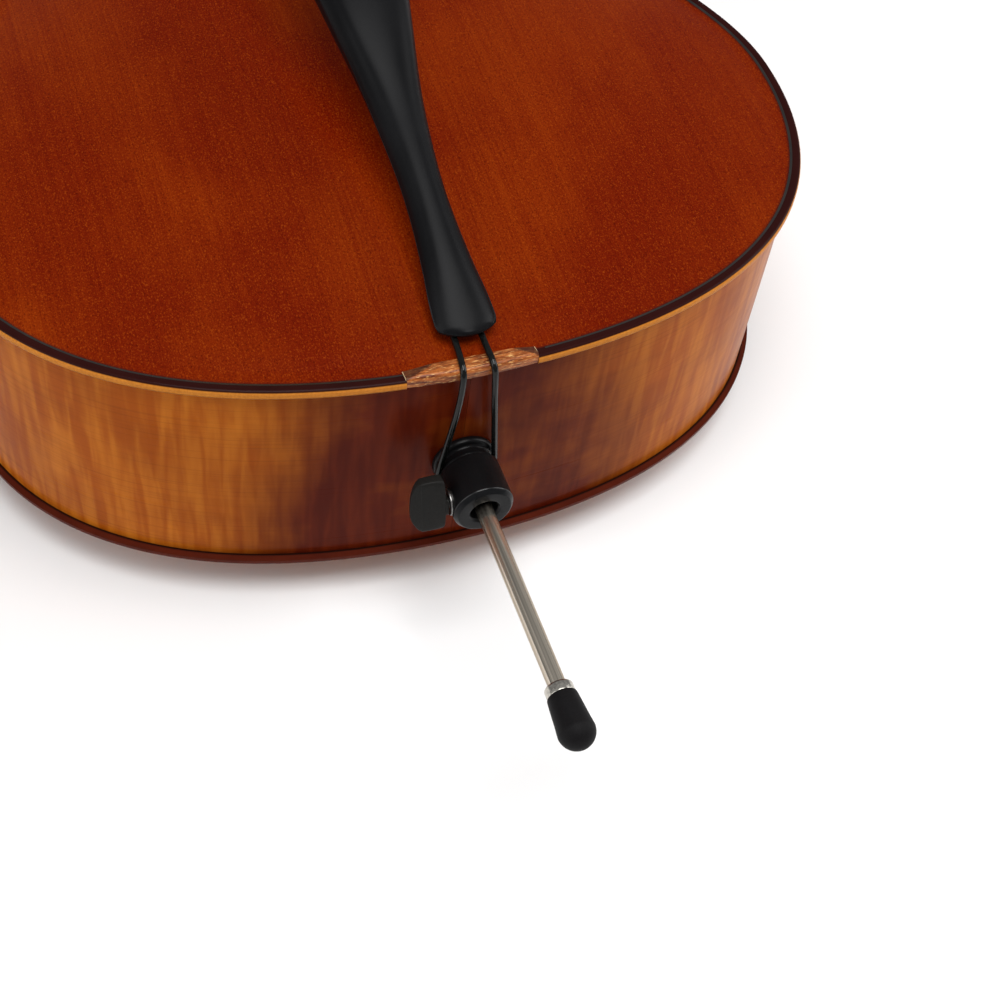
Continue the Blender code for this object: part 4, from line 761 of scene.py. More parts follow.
def plate(name, paint, outer, holes, fill, height, nodes, flip=False):
    """A plate with a rounded edge, a channel and an arched face, with exact normals on its face.

    It is drawn as a belly, face up, with its underside's flat margin at zero, then placed.
    """
    margins = (0.0001, 0.0004, 0.0009, 0.0015, 0.0021, 0.003, 0.004, 0.0052, 0.0066, 0.0082, 0.0105, 0.0135)
    flat, triangles = triangulated(outer, holes, [loop_at(amount) for amount in margins], fill)
    d, inward = nearest(flat, OUTLINE)
    d = np.where(inside(flat, OUTLINE), d, 0.0)
    if flip:  # the back's button has a plain rounded edge of its own
        own, own_in = nearest(flat, outer)
        button = (flat[:, 1] > BODY_LENGTH - 0.012) & (np.abs(flat[:, 0]) < BUTTON_RADIUS + 0.001)
        d, inward = np.where(button, own, d), np.where(button[:, None], own_in, inward)
    x, y = flat[:, 0], flat[:, 1]
    top = EDGE + edge_profile(d) + height * arch(x, y)
    low = np.where(d < UNDER_ROUND, under_profile(d),
        np.maximum(0.0, EDGE + height * arch(x, y) - PLATE_THICK))
    step = 1e-5
    slope = (edge_profile(d + step) - edge_profile(np.clip(d - step, 0, None))) / (step + np.minimum(step,
        d))
    slope = np.clip(slope, -60, 60)
    across = (arch(x + 1e-4, y) - arch(x - 1e-4, y)) / 2e-4
    along = (arch(x, y + 1e-4) - arch(x, y - 1e-4)) / 2e-4
    normals = np.column_stack(
        [-slope * inward[:, 0] - height * across, -slope * inward[:, 1] - height * along,
            np.ones(len(flat))]
    )
    normals /= np.linalg.norm(normals, axis=1)[:, None]
    n = len(flat)
    points = np.vstack([np.column_stack([x, y, top]), np.column_stack([x, y, low])])
    faces = [tuple(t) for t in triangles]
    loops_normals = [normals[i] for t in triangles for i in t]
    for a, b, c in triangles:
        faces.append((c + n, b + n, a + n))
        loops_normals += [np.array((0.0, 0.0, -1.0))] * 3
    for a, b in open_edges(triangles):
        faces.append((a + n, b + n, b, a))
        side = points[b] - points[a]
        out = np.array((side[1], -side[0], 0.0))
        out /= max(np.linalg.norm(out), 1e-12)
        on_edge = d[a] < 1e-5 and d[b] < 1e-5
        outer_a = np.array((*-inward[a], 0.0)) if on_edge else out
        outer_b = np.array((*-inward[b], 0.0)) if on_edge else out
        loops_normals += [outer_a, outer_b, outer_b, outer_a]
    if flip:
        points[:, 2] = EDGE - points[:, 2]
        faces = [f[::-1] for f in faces]
        flipped, at = [], 0
        for f in faces:
            flipped += [v * (1, 1, -1) for v in loops_normals[at : at + len(f)]][::-1]
            at += len(f)
        loops_normals = flipped
    else:
        points[:, 2] += BELLY_UNDER
    used = np.unique(np.concatenate([np.array(f) for f in faces]))
    number = np.full(2 * n, -1)
    number[used] = np.arange(len(used))
    mesh = bpy.data.meshes.new(name)
    mesh.from_pydata(points[used].tolist(), [], [tuple(int(number[i]) for i in f) for f in faces])
    mark(mesh, "edge_mm", np.concatenate([d, d])[used] * 1000)
    mesh.shade_smooth()
    mesh.normals_split_custom_set([tuple(map(float, v)) for v in loops_normals])
    add(name, mesh, paint, nodes=nodes)


def fill_points(spacing, avoid=()):
    rows = int(BODY_LENGTH / (spacing * 0.87))
    found = []
    for k in range(1, rows):
        shift = 0.5 * spacing * (k % 2)
        found += [(x + shift, BODY_LENGTH * k / rows) for x in np.arange(-40 * spacing, 40 * spacing,
            spacing)]
    found = np.array(found)
    found = found[inside(found, OUTLINE)]
    found = found[nearest(found, OUTLINE)[0] > 0.0165]
    for loop in avoid:
        found = found[~inside(found, loop) & (nearest(found, loop)[0] > 0.3 * spacing)]
    return found


def f_hole(side):
    upper, lower = np.array((0.0545, 0.415)), np.array((0.09, 0.296))
    knots = mm(
        (55.2, 422.5), (60, 430), (68, 431), (74, 423), (75.7, 403), (72.5, 355),
        (69, 308), (71, 288.5), (77.5, 280.5), (85, 281.5), (89.3, 288),
    )
    line = np.array(smooth_route(knots, 8))
    along, normal = directions(line)
    half = 0.0011 + 0.0036 * np.sin(math.pi * np.linspace(0, 1, len(line))) ** 1.3
    stem = np.vstack([line + half[:, None] * normal, (line - half[:, None] * normal)[::-1]])
    nicks = []
    for direction in (1, -1):
        k = len(line) // 2 + 1
        root = line[k] + direction * (half[k] - 0.0006) * normal[k]
        tip = line[k] + direction * (half[k] + 0.0028) * normal[k]
        nicks.append(np.array([root + 0.0016 * along[k], tip, root - 0.0016 * along[k]]))
    circle = np.column_stack([np.cos(around(40)), np.sin(around(40))])
    loops = [stem, upper + 0.0078 * circle, lower + 0.01 * circle, *nicks]
    return [loop * (side, 1) for loop in loops]


def notched(half_top, top_points, saddle=True):
    right = OUTLINE[OUTLINE[:, 0] > 0]
    right = right[~((right[:, 0] < half_top) & (right[:, 1] > 0.7))]
    start = np.array([(0.0, 0.0)])
    if saddle:
        right = right[~((right[:, 0] < SADDLE_HALF + 0.001) & (right[:, 1] < 0.1))]
        edge_y = float(np.interp(SADDLE_HALF, OUTLINE[:40, 0], OUTLINE[:40, 1]))
        start = np.array([(SADDLE_HALF, SADDLE_DEEP), (SADDLE_HALF, edge_y)])
    right = np.vstack([start, right, top_points])
    left = mirrored(right)
    if right[-1, 0] == 0:
        left = left[1:]
    if right[0, 0] == 0:
        left = left[:-1]
    return np.vstack([right, left])


def body_plates():
    edge_top = BODY_LENGTH - 0.0012
    belly_loop = notched(MORTISE_HALF + 0.001, [(MORTISE_HALF, edge_top), (MORTISE_HALF, MORTISE_Y)])
    turns = np.linspace(math.radians(-4), math.pi / 2, 24)
    button = np.column_stack([BUTTON_RADIUS * np.cos(turns), BODY_LENGTH + 0.0205 * np.sin(turns)])
    button[-1, 0] = 0.0
    back_loop = notched(BUTTON_RADIUS + 0.001, button, saddle=False)
    holes = f_hole(1) + f_hole(-1)
    plate("belly_plate", "spruce", belly_loop, holes, fill_points(0.008, holes), BELLY_ARCH, ["belly"])
    plate("back_plate", "back", back_loop, [], fill_points(0.009), BACK_ARCH, ["back"], flip=True)
    purfling("belly_purfling", True)
    purfling("back_purfling", False)


def purfling(name, on_belly):
    """The inlaid line, a hair proud of the varnish. The belly's stops at the saddle and the neck."""
    outer, inner = loop_at(PURFLING_NEAR), loop_at(PURFLING_FAR)
    count = min(len(outer), len(inner))
    outer, inner = outer[:count], inner[:count]
    runs = [np.arange(count)]
    if on_belly:
        flank = np.abs(outer[:, 0])
        low, high = outer[:, 1] < 0.1, outer[:, 1] > 0.7
        hidden = (low & (flank < SADDLE_HALF - 0.0005)) | (high & (flank < MORTISE_HALF - 0.0005))
        shown = np.flatnonzero(~hidden)
        breaks = np.flatnonzero(np.diff(shown) > 1) + 1
        runs = np.split(shown, breaks)
    height = BELLY_ARCH if on_belly else BACK_ARCH
    rings = []
    for run in runs:
        for step in run:
            for share, drop in ((0.0, 0.001), (0.0, 0.0), (0.33, 0.0), (0.67, 0.0), (1.0, 0.0),
                    (1.0, 0.001)):
                rings.append((*((1 - share) * outer[step] + share * inner[step]), drop))
    table = np.array(rings)
    d, _ = nearest(table[:, :2], OUTLINE)
    top = EDGE + edge_profile(d) + height * arch(table[:, 0], table[:, 1]) + 0.00005 - table[:, 2]
    z = BELLY_UNDER + top if on_belly else EDGE - top
    points = np.column_stack([table[:, :2], z])
    faces, start = [], 0
    for run in runs:
        faces += skin(len(run), 6, not on_belly, start)
        start += 6 * len(run)
    mesh = mesh_of(points, faces, 60)
    add(name, mesh, "purfling", nodes=["purfling_belly" if on_belly else "purfling_back"])


# ---------------------------------------------------------------- ribs


def bent_normals(mesh):
    """Normals square to the body's outline, which a cut would otherwise disturb."""
    plan = np.array([(v.co.x - ORIGIN.x, v.co.y - ORIGIN.y) for v in mesh.vertices])
    depth, inward = nearest(plan, OUTLINE)
    outer = depth < OVERHANG + 0.0004
    normals = []
    for polygon in mesh.polygons:
        same_face = len({bool(outer[v]) for v in polygon.vertices}) == 1
        sign = -1.0 if outer[polygon.vertices[0]] else 1.0
        corners = [mesh.vertices[v].co for v in polygon.vertices]
        longest = max((a - b).length for a in corners for b in corners)
        sliver = polygon.area < 0.03 * longest**2
        for vertex in polygon.vertices:
            exact = sign * Vector((*inward[vertex], 0.0))
            sure = same_face and (sliver or exact.dot(polygon.normal) > 0.5)
            normals.append(exact if sure else polygon.normal)
    mesh.shade_smooth()
    mesh.normals_split_custom_set([tuple(n) for n in normals])


def ribs():
    """The six bent ribs, flush with the plates."""
    seam = np.array([(0.00008, -0.05), (0.00008, 0.05)])
    mortise = np.array([(MORTISE_HALF, 0.7), (MORTISE_HALF, 0.8)])
    faces = [long_arcs(OVERHANG), long_arcs(OVERHANG + RIB_THICK)]
    room = long_arcs(OVERHANG + RIB_THICK)
    front = faces[0][1]
    plans = {
        "lower": [after(before(face[0], front), seam) for face in faces],
        "middle": [before(after(face[1], room[0]), room[2]) for face in faces],
        "upper": [before(after(face[2], front), mortise) for face in faces],
    }
    for bout, (outer, inner) in plans.items():
        outline = np.vstack([outer, inner[::-1]])
        for side, word in ((-1, "bass"), (1, "treble")):
            heights = np.linspace(EDGE - 0.0001, BELLY_UNDER + 0.0001, 7)
            rings = [[(x * side, y, z) for x, y in outline] for z in heights]
            name = f"rib_{bout}_{word}_bent"
            rib = add(name, loft(rings), "rib", nodes=[f"rib_{bout}_{word}"])
            if bout == "lower":
                hole = turned([(0.0136, -0.03), (0.0136, 0.06)], 48)
                cut(rib, aimed(hole, (PIN_X, 0, PIN_Z), (0, 1, 0)))
            bent_normals(rib.data)


# ---------------------------------------------------------------- neck and scroll


def glue_z(y):
    return GLUE_Z + NECK_SLOPE * (BODY_LENGTH - y)


def board_half(y):
    return BOARD_HALF_NUT + (BOARD_HALF_END - BOARD_HALF_NUT) * (NUT_Y - y) / BOARD_LENGTH


def head_point(u, v):
    c, s = math.cos(HEAD_TILT), math.sin(HEAD_TILT)
    return NUT_Y + u * c + v * s, glue_z(NUT_Y) - u * s + v * c


def neck_handle():
    """From the heel on the back's button, round its curve and along the handle to the nut."""
    heel = bezier((BODY_LENGTH + 0.0195, EDGE + GAP), (BODY_LENGTH + 0.02, 0.07), (0.788, 0.108),
        (0.835, 0.1125), 9)
    under = [(y, glue_z(y) - 0.0198 + 0.0018 * (y - 0.835) / 0.2) for y in (0.9, 0.97, 1.04)]
    outer = smooth_route([*map(tuple, heel), *under], 5)
    inner = [(MORTISE_Y, EDGE + GAP), (MORTISE_Y, 0.035), (MORTISE_Y, 0.065), (MORTISE_Y, 0.092),
        (MORTISE_Y, 0.113)]
    inner += [(MORTISE_Y, 0.13), (MORTISE_Y, glue_z(MORTISE_Y))]
    inner += [(y, glue_z(y)) for y in (0.768, 0.795, 0.835, 0.9, 0.97, 1.04)]
    fine = []
    for a, b in zip(inner, inner[1:]):
        fine += [tuple(np.array(a) + (np.array(b) - np.array(a)) * k / 5) for k in range(5)]
    fine.append(inner[-1])
    rings = []
    for (iy, iz), (oy, oz) in zip(fine, outer):
        half = min(board_half(max(oy, iy)) + 0.0002, MORTISE_HALF - 0.0009)
        ring = []
        for turn in np.linspace(0, math.pi, 33):
            across = math.copysign(abs(math.cos(turn)) ** 0.8, math.cos(turn))
            deep = abs(math.sin(turn)) ** 0.85
            ring.append((half * across, iy + (oy - iy) * deep, iz + (oz - iz) * deep))
        rings.append(ring)
    add("neck_handle", loft(rings, 50), "neck", nodes=["neck"])


def spiral(turn):
    """(u, v, half width) of the scroll's rim after a number of turns."""
    radius = SPIRAL_START * math.exp(-SPIRAL_DECAY * turn)
    angle = SPIRAL_FIRST_ANGLE + 2 * math.pi * turn
    turns = (0, 0.25, 0.5, 0.75, 0.9, 1.0, 1.5, 2.0, 2.5)
    half = eased(turn, turns, (14, 12.2, 11.6, 12.6, 14.6, 15.6, 21, 26, 30))
    return EYE[0] + radius * math.cos(angle), EYE[1] + radius * math.sin(angle), half * 0.001


PEGBOX = (  # back (u, v), front (u, v), half width
    ((-0.012, -0.018), (-0.01, -0.006), 0.015),
    ((-0.002, -0.036), (0.000, 0.000), 0.019),
    ((0.01, -0.046), (0.008, 0.001), 0.0212),
    ((0.03, -0.046), (0.028, 0.001), 0.0208),
    ((0.065, -0.04), (0.062, 0.000), 0.0186),
    ((0.098, -0.034), (0.098, -0.001), 0.0163),
)
ACROSS = 12
FLUTE = 0.0026


def fluted(centre, normal, half, depth):
    """Points across the back of the head: two hollows either side of a ridge."""
    made = []
    for share in np.linspace(-1, 1, ACROSS + 1):
        drop = depth * abs(math.sin(math.pi * share)) ** 1.3
        made.append((centre[0] - normal[0] * drop, centre[1] - normal[1] * drop, share * half))
    return made


def scroll_head():
    per_turn = 64
    points, faces = [], []

    def put(u, v, x):
        y, z = head_point(u, v)
        points.append((x, y, z))
        return len(points) - 1

    total, throat = round(SPIRAL_TURNS * per_turn), round(THROAT_TURN * per_turn)
    backs = smooth_route([row[0] for row in PEGBOX] + [spiral(0)[:2]], 4)
    fronts = smooth_route([row[1] for row in PEGBOX] + [spiral(THROAT_TURN)[:2]], 4)
    widths = smooth_route([(row[2],) for row in PEGBOX] + [(spiral(0)[2],)], 4)
    strips, front_edges = [], []
    for k, (back, front, half) in enumerate(zip(backs, fronts, widths)):
        normal = np.array(back) - np.array(front)
        normal = normal / np.linalg.norm(normal)
        depth = FLUTE * min(1.0, max(0.0, (k - 5) / 10))
        strips.append([put(*p) for p in fluted(back, normal, float(half[0]), depth)])
        front_edges.append((put(*front, -float(half[0])), put(*front, float(half[0]))))
    for k, (low, high) in enumerate(zip(strips, strips[1:])):
        faces += [(low[j], low[j + 1], high[j + 1], high[j]) for j in range(ACROSS)]
        (a, b), (c, d) = front_edges[k], front_edges[k + 1]
        faces += [(a, b, d, c), (low[0], a, c, high[0]), (b, low[-1], high[-1], d)]
    faces.append((*strips[0], front_edges[0][1], front_edges[0][0]))
    rim = {0: (strips[-1][0], strips[-1][-1])}
    foot = {throat: front_edges[-1]}
    strip = strips[-1]
    for k in range(1, total + 1):
        u, v, half = spiral(k / per_turn)
        if k < throat:
            out = np.array((u - EYE[0], v - EYE[1]))
            out /= np.linalg.norm(out)
            taper = min(1.0, (throat - k) / (0.2 * per_turn))
            new = [put(*p) for p in fluted((u, v), out, half, FLUTE * taper)]
            faces += [(strip[j], strip[j + 1], new[j + 1], new[j]) for j in range(ACROSS)]
            strip = new
            rim[k] = (new[0], new[-1])
        else:
            rim[k] = (put(u, v, -half), put(u, v, half))
            if k > throat:
                outer_half = spiral(max(k - per_turn, 0) / per_turn)[2]
                foot[k] = (put(u, v, -outer_half), put(u, v, outer_half))
    faces.append((*strip, rim[throat][1], foot[throat][1], foot[throat][0], rim[throat][0]))
    for k in range(throat, total):
        for side in (0, 1):
            faces.append((foot[k][side], foot[k + 1][side], rim[k + 1][side], rim[k][side]))
    eye_radius, eye_half = SPIRAL_START * math.exp(-SPIRAL_DECAY * SPIRAL_TURNS), spiral(SPIRAL_TURNS)[2]

    def round_eye(k, radius, x):
        angle = SPIRAL_FIRST_ANGLE + 2 * math.pi * k / per_turn
        return put(EYE[0] + radius * math.cos(angle), EYE[1] + radius * math.sin(angle), x)

    for side, sign in ((0, -1), (1, 1)):
        for k in range(throat, per_turn):
            faces.append((rim[0][side], foot[k][side], foot[k + 1][side]))

        def inner(k):
            """Where the floor beside rim k ends: at the next turn's wall, or at the eye's."""
            if k + per_turn <= total:
                return foot[k + per_turn][side]
            if k not in eye:
                eye[k] = round_eye(k, eye_radius, sign * spiral(k / per_turn)[2])
            return eye[k]

        eye, floors = {}, {}
        for k in range(total):
            ends = rim[k][side], inner(k)
            row = [ends[0]]
            a, b = np.array(points[ends[0]]), np.array(points[ends[1]])
            for step in (0.25, 0.5, 0.75):
                middle = a + (b - a) * step
                middle[0] -= sign * 0.0011 * math.sin(math.pi * step)
                points.append(tuple(middle))
                row.append(len(points) - 1)
            floors[k] = [*row, ends[1]]
        for k in range(total - 1):
            near, far = floors[k], floors[k + 1]
            faces += [(near[j], near[j + 1], far[j + 1], far[j]) for j in range(4)]
        first = total - per_turn
        tops = [round_eye(k, eye_radius, sign * eye_half) for k in range(first, total)]
        for j in range(per_turn - 1):
            faces.append((floors[first + j][-1], floors[first + j + 1][-1], tops[j + 1], tops[j]))
        dome = [round_eye(k, 0.6 * eye_radius, sign * (eye_half + 0.0007)) for k in range(first, total)]
        for j in range(per_turn):
            nxt = (j + 1) % per_turn
            faces.append((tops[j], tops[nxt], dome[nxt], dome[j]))
        faces.append(tuple(dome))
        last = floors[total - 1]
        faces.append((last[-1], tops[per_turn - 1], tops[0], rim[total][side]))
        faces.append((*last[::-1], rim[total][side]))
    head = add("scroll_head", mesh_of(points, faces, 38), "neck", bevel=0.0006, angle=42)
    sections = [((0.009, -0.036), (0.007, 0.02), 0.013), ((0.062, -0.032), (0.062, 0.02), 0.0112)]
    sections.append(((0.12, -0.024), (0.122, 0.02), 0.0078))
    rings = []
    for back, front, half in sections:
        (by, bz), (fy, fz) = head_point(*back), head_point(*front)
        rings.append([(-half, by, bz), (half, by, bz), (half, fy, fz), (-half, fy, fz)])
    cut(head, loft(rings))


def board_crown(x, y):
    rise = math.sqrt(BOARD_RADIUS**2 - board_half(y) ** 2)
    return glue_z(y) + GAP + BOARD_SIDE + math.sqrt(BOARD_RADIUS**2 - x * x) - rise


def fingerboard():
    rings = []
    for y in np.linspace(NUT_Y, NUT_Y - BOARD_LENGTH + 0.0004, 60):
        half, base = board_half(y), glue_z(y) + 0.0001
        over_neck = y > BODY_LENGTH - 0.012
        top = [(x, y, board_crown(x, y) - 0.0003) for x in np.linspace(half, -half, 41)]
        hollow = 0.0 if over_neck else min(1.0, (BODY_LENGTH - 0.012 - y) / 0.03) * 0.0042
        under = [(x, y, base + hollow * (1 - (x / (half - 0.004)) ** 2)) for x in np.linspace(0.0041 - half,
            half - 0.0041, 15)]
        rings.append([(-half, y, base), *under, (half, y, base), *top])
    add("fingerboard_ebony", loft(rings, 40), "ebony", nodes=["fingerboard"], bevel=0.0005)


def nut():
    grooves = [place * NUT_SPACING for _, place, _ in STRINGS]
    rings = []
    for x in np.linspace(-BOARD_HALF_NUT, BOARD_HALF_NUT, 97):
        notch = max(0.0, 1 - min(abs(x - g) for g in grooves) / 0.0011)
        top = board_crown(x, NUT_Y) + 0.0008 - 0.0007 * notch
        end = 0.0008 * max(0.0, (abs(x) - BOARD_HALF_NUT + 0.0015) / 0.0015) ** 2
        y, base = NUT_Y, glue_z(NUT_Y) + 0.0001
        ring = [(x, y, base), (x, y + 0.0085, base - 0.0012), (x, y + 0.0084, top - 0.0036 - end)]
        ring += [(x, y + 0.006, top - 0.0014 - end), (x, y + 0.003, top - end), (x, y, top - end)]
        rings.append(ring)
    add("nut_ebony", loft(rings, 50), "ebony", nodes=["nut"])


PEG_HEAD = mm(  # distance past the shaft's collar, half size across, half thickness
    (-0.4, 5.6, 5.6), (0, 8.5, 8.5), (0.8, 9, 9), (3, 9, 9), (3.8, 8, 8), (4.4, 6.2, 6), (6.2, 5.6, 5.2),
    (9, 6.6, 5.4), (13, 11, 6.2), (18.5, 16.8, 6.6), (24, 19.3, 6.2), (29, 19.6, 5.6), (33.5, 17.8, 5),
    (37, 14, 4.4), (39.2, 9.6, 3.8), (40.2, 6, 3.4), (40.6, 2, 2),
)


def pegs():
    for string, (u, v, side) in PEG_PLACES.items():
        half = float(np.interp(u, (0.0, 0.065, 0.109), (0.0212, 0.0186, 0.0158)))
        out = half + 0.0045
        knots = [(-half - 0.0014, 0.0043, 0.0043), (-half - 0.001, 0.0045, 0.0045), (0.0, 0.005, 0.005)]
        knots += [(out + along, wide, thick) for along, wide, thick in PEG_HEAD]
        rings = []
        for along, wide, thick in smooth_route(knots, 3):
            hollow = 0.0016 * math.exp(-(((along - out - 0.026) / 0.008) ** 2))
            ring = []
            for a in around(36):
                dish = hollow * (1 - min(1.0, abs(math.cos(a)) ** 2)) if wide > 0.012 else 0.0
                ring.append((wide * math.cos(a), max(thick - dish, 0.0005) * math.sin(a), along))
            rings.append(ring)
        at, peg = (0, *head_point(u, v)), f"peg_{string}"
        add(f"{peg}_turned", aimed(loft(rings, 45), at, (side, 0, 0)), "ebony", peg, [peg])
        pip_line = mm((0.1, 40), (1.7, 40), (1.6, 41.2), (0.1, 41.7))
        pip = turned([(radius, out + along) for radius, along in pip_line], 24)
        add(f"{peg}_pip", aimed(pip, at, (side, 0, 0)), "slot_ivory", peg)


# ---------------------------------------------------------------- bridge and strings


def bridge_top(x):
    crown = float(belly_top(0, BRIDGE_Y)) + BRIDGE_HEIGHT
    return crown - BRIDGE_RADIUS + math.sqrt(BRIDGE_RADIUS**2 - x * x)


def bridge():
    foot = float(belly_top(0, BRIDGE_Y))

    def sole(x):
        return float(belly_top(x, BRIDGE_Y)) - foot + 0.0001

    crown = [(x, bridge_top(x)) for x in np.linspace(0.0285, 0, 24)]
    arch_under = smooth_route(mm((0, 40), (12, 39.2), (20, 38.5), (24.3, 33.5), (23.2, 18), (21.6, 4.5)), 6)
    soles = [(x, sole(x)) for x in np.linspace(0.0205, 0.0458, 14)]
    leg = mm((46, 3), (42, 7), (38.8, 13), (38, 25), (39.8, 36), (46.2, 40), (48.2, 44))
    leg += mm((47.4, 49), (43.2, 51.2), (39.2, 48.4), (35.2, 49.4), (33.8, 54.5), (33, 62), (30.5, 76))
    outer_leg = smooth_route([(0.0459, sole(0.0459) + 0.0006), *leg], 5)
    right = [(x, foot + z) for x, z in [*arch_under, *soles, *outer_leg]] + crown[:-1]
    right = np.array(right)
    loop = np.vstack([right, [(0.0, bridge_top(0))], mirrored(right)[:-1]])
    turns = around(48)
    heart = np.column_stack([0.0085 * np.sin(turns) ** 3,
        foot + 0.06 + 0.008 * (np.cos(turns) - 0.35 * np.cos(2 * turns))])
    kidney_x = 0.0238 + 0.0062 * np.cos(turns) - 0.0015 * np.cos(2 * turns)
    kidney = np.column_stack([kidney_x, foot + 0.0562 + 0.0044 * np.sin(turns) + 0.0012 * np.cos(turns)])
    flat, triangles = triangulated(loop, [heart, kidney, kidney * (-1, 1)])
    n = len(flat)
    points = []
    for side in (-1, 1):
        for x, z in flat:
            half = 0.0055 - 0.0041 * min(1.0, max(0.0, (z - foot) / BRIDGE_HEIGHT))
            points.append((x, BRIDGE_Y + side * half, z))
    faces = [tuple(t) for t in triangles] + [(c + n, b + n, a + n) for a, b, c in triangles]
    faces += [(b, a, a + n, b + n) for a, b in open_edges(triangles)]
    add("bridge_carved", mesh_of(points, faces, 35), "bridge", nodes=["bridge"],
        bevel=0.0005)


def string_route(name, place, radius):
    u, v, side = PEG_PLACES[name]
    tail_x, bridge_x, nut_x = place * TAIL_SPACING, place * BRIDGE_SPACING, place * NUT_SPACING
    hook = tail_point(TUNER_HOOK_S + GAP, tail_crown(tail_x) + 0.0018)
    over_bridge = bridge_top(bridge_x) + radius - 0.0001
    over_nut = board_crown(nut_x, NUT_Y) + 0.0001 + radius + GAP
    peg_y, peg_z = head_point(u, v)
    shaft = 0.0052 + radius
    route = [(tail_x, *hook), (bridge_x, BRIDGE_Y - 0.003, over_bridge - 0.0006),
        (bridge_x, BRIDGE_Y, over_bridge)]
    route += [(bridge_x, BRIDGE_Y + 0.003, over_bridge - 0.0004), (nut_x, NUT_Y + 0.0005, over_nut)]
    route += [(nut_x, NUT_Y + 0.0035, over_nut - 0.0004), (nut_x, NUT_Y + 0.009, over_nut - 0.004)]
    turns, steps = 2.5, 20
    tilt = math.pi / 2 + HEAD_TILT * 0.6
    for k in range(int(turns * steps) + 1):
        angle = tilt - 2 * math.pi * k / steps
        x = side * 0.005 - side * k / steps * 2.05 * max(radius, 0.0007)
        route.append((x, peg_y + shaft * math.cos(angle), peg_z + shaft * math.sin(angle)))
    return route


def strings():
    for name, place, radius in STRINGS:
        route = string_route(name, place, radius)
        tube(f"string_{name}_wound", route, radius, "wound", nodes=[f"string_{name}"])
        start, bridge_end = Vector(route[0]), Vector(route[1])
        run = bridge_end - start
        silk = [start + run * (0.01 / run.length), start + run * (0.062 / run.length)]
        tube(f"silk_{name}_tail", silk, radius + 0.00012, "silk")
        tube(f"silk_{name}_head", route[6:8], radius + 0.00012, "silk")
        ball = turned([(0.0009, -0.0011), (0.0021, -0.001), (0.0021, 0.001), (0.0009, 0.0011)], 24)
        x = place * TAIL_SPACING
        at = (x, *tail_point(TUNER_HOOK_S - 0.0066, tail_crown(x) + 0.0003))
        add(f"string_{name}_ball", aimed(ball, at, (1, 0, 0)), "brass")


# ---------------------------------------------------------------- tailpiece, tuners, tailgut, saddle


def tail_point(s, n):
    _, c, t = TAIL_ALONG
    return TAIL_END_Y + s * c - n * t, TAIL_END_Z + s * t + n * c


def tail_shift(s):
    return TAIL_FOOT_SHIFT * max(0.0, 1 - s / 0.19)


def tail_half(s):
    if s < FOOT_ARC_END:
        arc = FOOT_ARC**2 - (FOOT_ARC - (s - FOOT_END)) ** 2
        side = 0.0132 + 0.001 * math.sin(0.5 * math.pi * max(0.0, s) / FOOT_ARC_END)
        return min(math.sqrt(max(arc, 1e-7)), side)
    stations = (FOOT_ARC_END, 0.01, 0.03, 0.065, 0.11, 0.17, 0.215, 0.229, 0.2335, 0.235)
    halves = (0.0142, 0.014, 0.0119, 0.0099, 0.0125, 0.021, 0.0272, 0.0268, 0.025, 0.0228)
    return eased(s, stations, halves)


def tail_height(s):
    stations = (FOOT_END, FOOT_END + 0.0006, FOOT_END + 0.002, 0.003, 0.02, 0.06, 0.15, 0.235)
    return eased(s, stations, (0.004, 0.0047, 0.0051, 0.006, 0.0078, 0.0098, 0.012, 0.0125))


def tail_under(s):
    return 0.0021 * float(np.clip((0.001 - s) / 0.0057, 0, 1))


def tail_crown(x):
    return tail_height(0.22) + 0.0045 - TAIL_ARC + math.sqrt(TAIL_ARC**2 - x * x)


def tail_top(x, s):
    half, height = tail_half(s), tail_height(s)
    blend = float(np.clip((s - 0.1) / 0.08, 0, 1))
    blend = blend * blend * (3 - 2 * blend)
    share = min(1.0, abs(x / half))
    slim = height * (1 - share**2.3) ** 0.52
    slim = max(slim, tail_under(s) + 0.0018)
    wide = tail_crown(x) * (1 - 0.45 * share**8)
    return slim * (1 - blend) + wide * blend


def tail_block(x, half, s0, s1, n0, n1):
    corners = [(s0, n0), (s1, n0), (s1, n1), (s0, n1)]
    return loft([[(x + side * half, *tail_point(s, n)) for s, n in corners] for side in (-1, 1)])


def tailpiece():
    foot = FOOT_END + (FOOT_ARC_END - FOOT_END) * np.linspace(0, 1, 19) ** 2
    stations = np.concatenate([foot, np.linspace(0.006, 0.222, 61), np.linspace(0.226, 0.235, 9)])
    rings = []
    for s in stations:
        half, lift = tail_half(s), tail_under(s)
        ring = [(x, tail_top(x, s)) for x in half * np.sin(np.linspace(math.pi / 2, -math.pi / 2, 37))]
        reach = half * 0.985
        under = [(x, 0.0005 * abs(x / half) ** 6 + lift) for x in np.linspace(-reach, reach, 15)]
        rings.append([(x + tail_shift(s), *tail_point(s, n)) for x, n in [*ring, *under]])
    body = add("tailpiece_moulded", loft(rings, 50), "composite", nodes=["tailpiece"])
    for _, place, _ in STRINGS:
        x = place * TAIL_SPACING
        top = tail_crown(x)
        cut(body, tail_block(x, 0.0029, 0.2105, 0.24, top - 0.0115, top + 0.004))
        cut(body, tail_block(x, 0.0035, 0.1975, 0.24, -0.004, top - 0.0036))
        hole = turned([(0.0022, -0.004), (0.0022, 0.01)], 24)
        cut(body, aimed(hole, (x, *tail_point(TUNER_SCREW_S, top - 0.004)), TAIL_NORMAL))


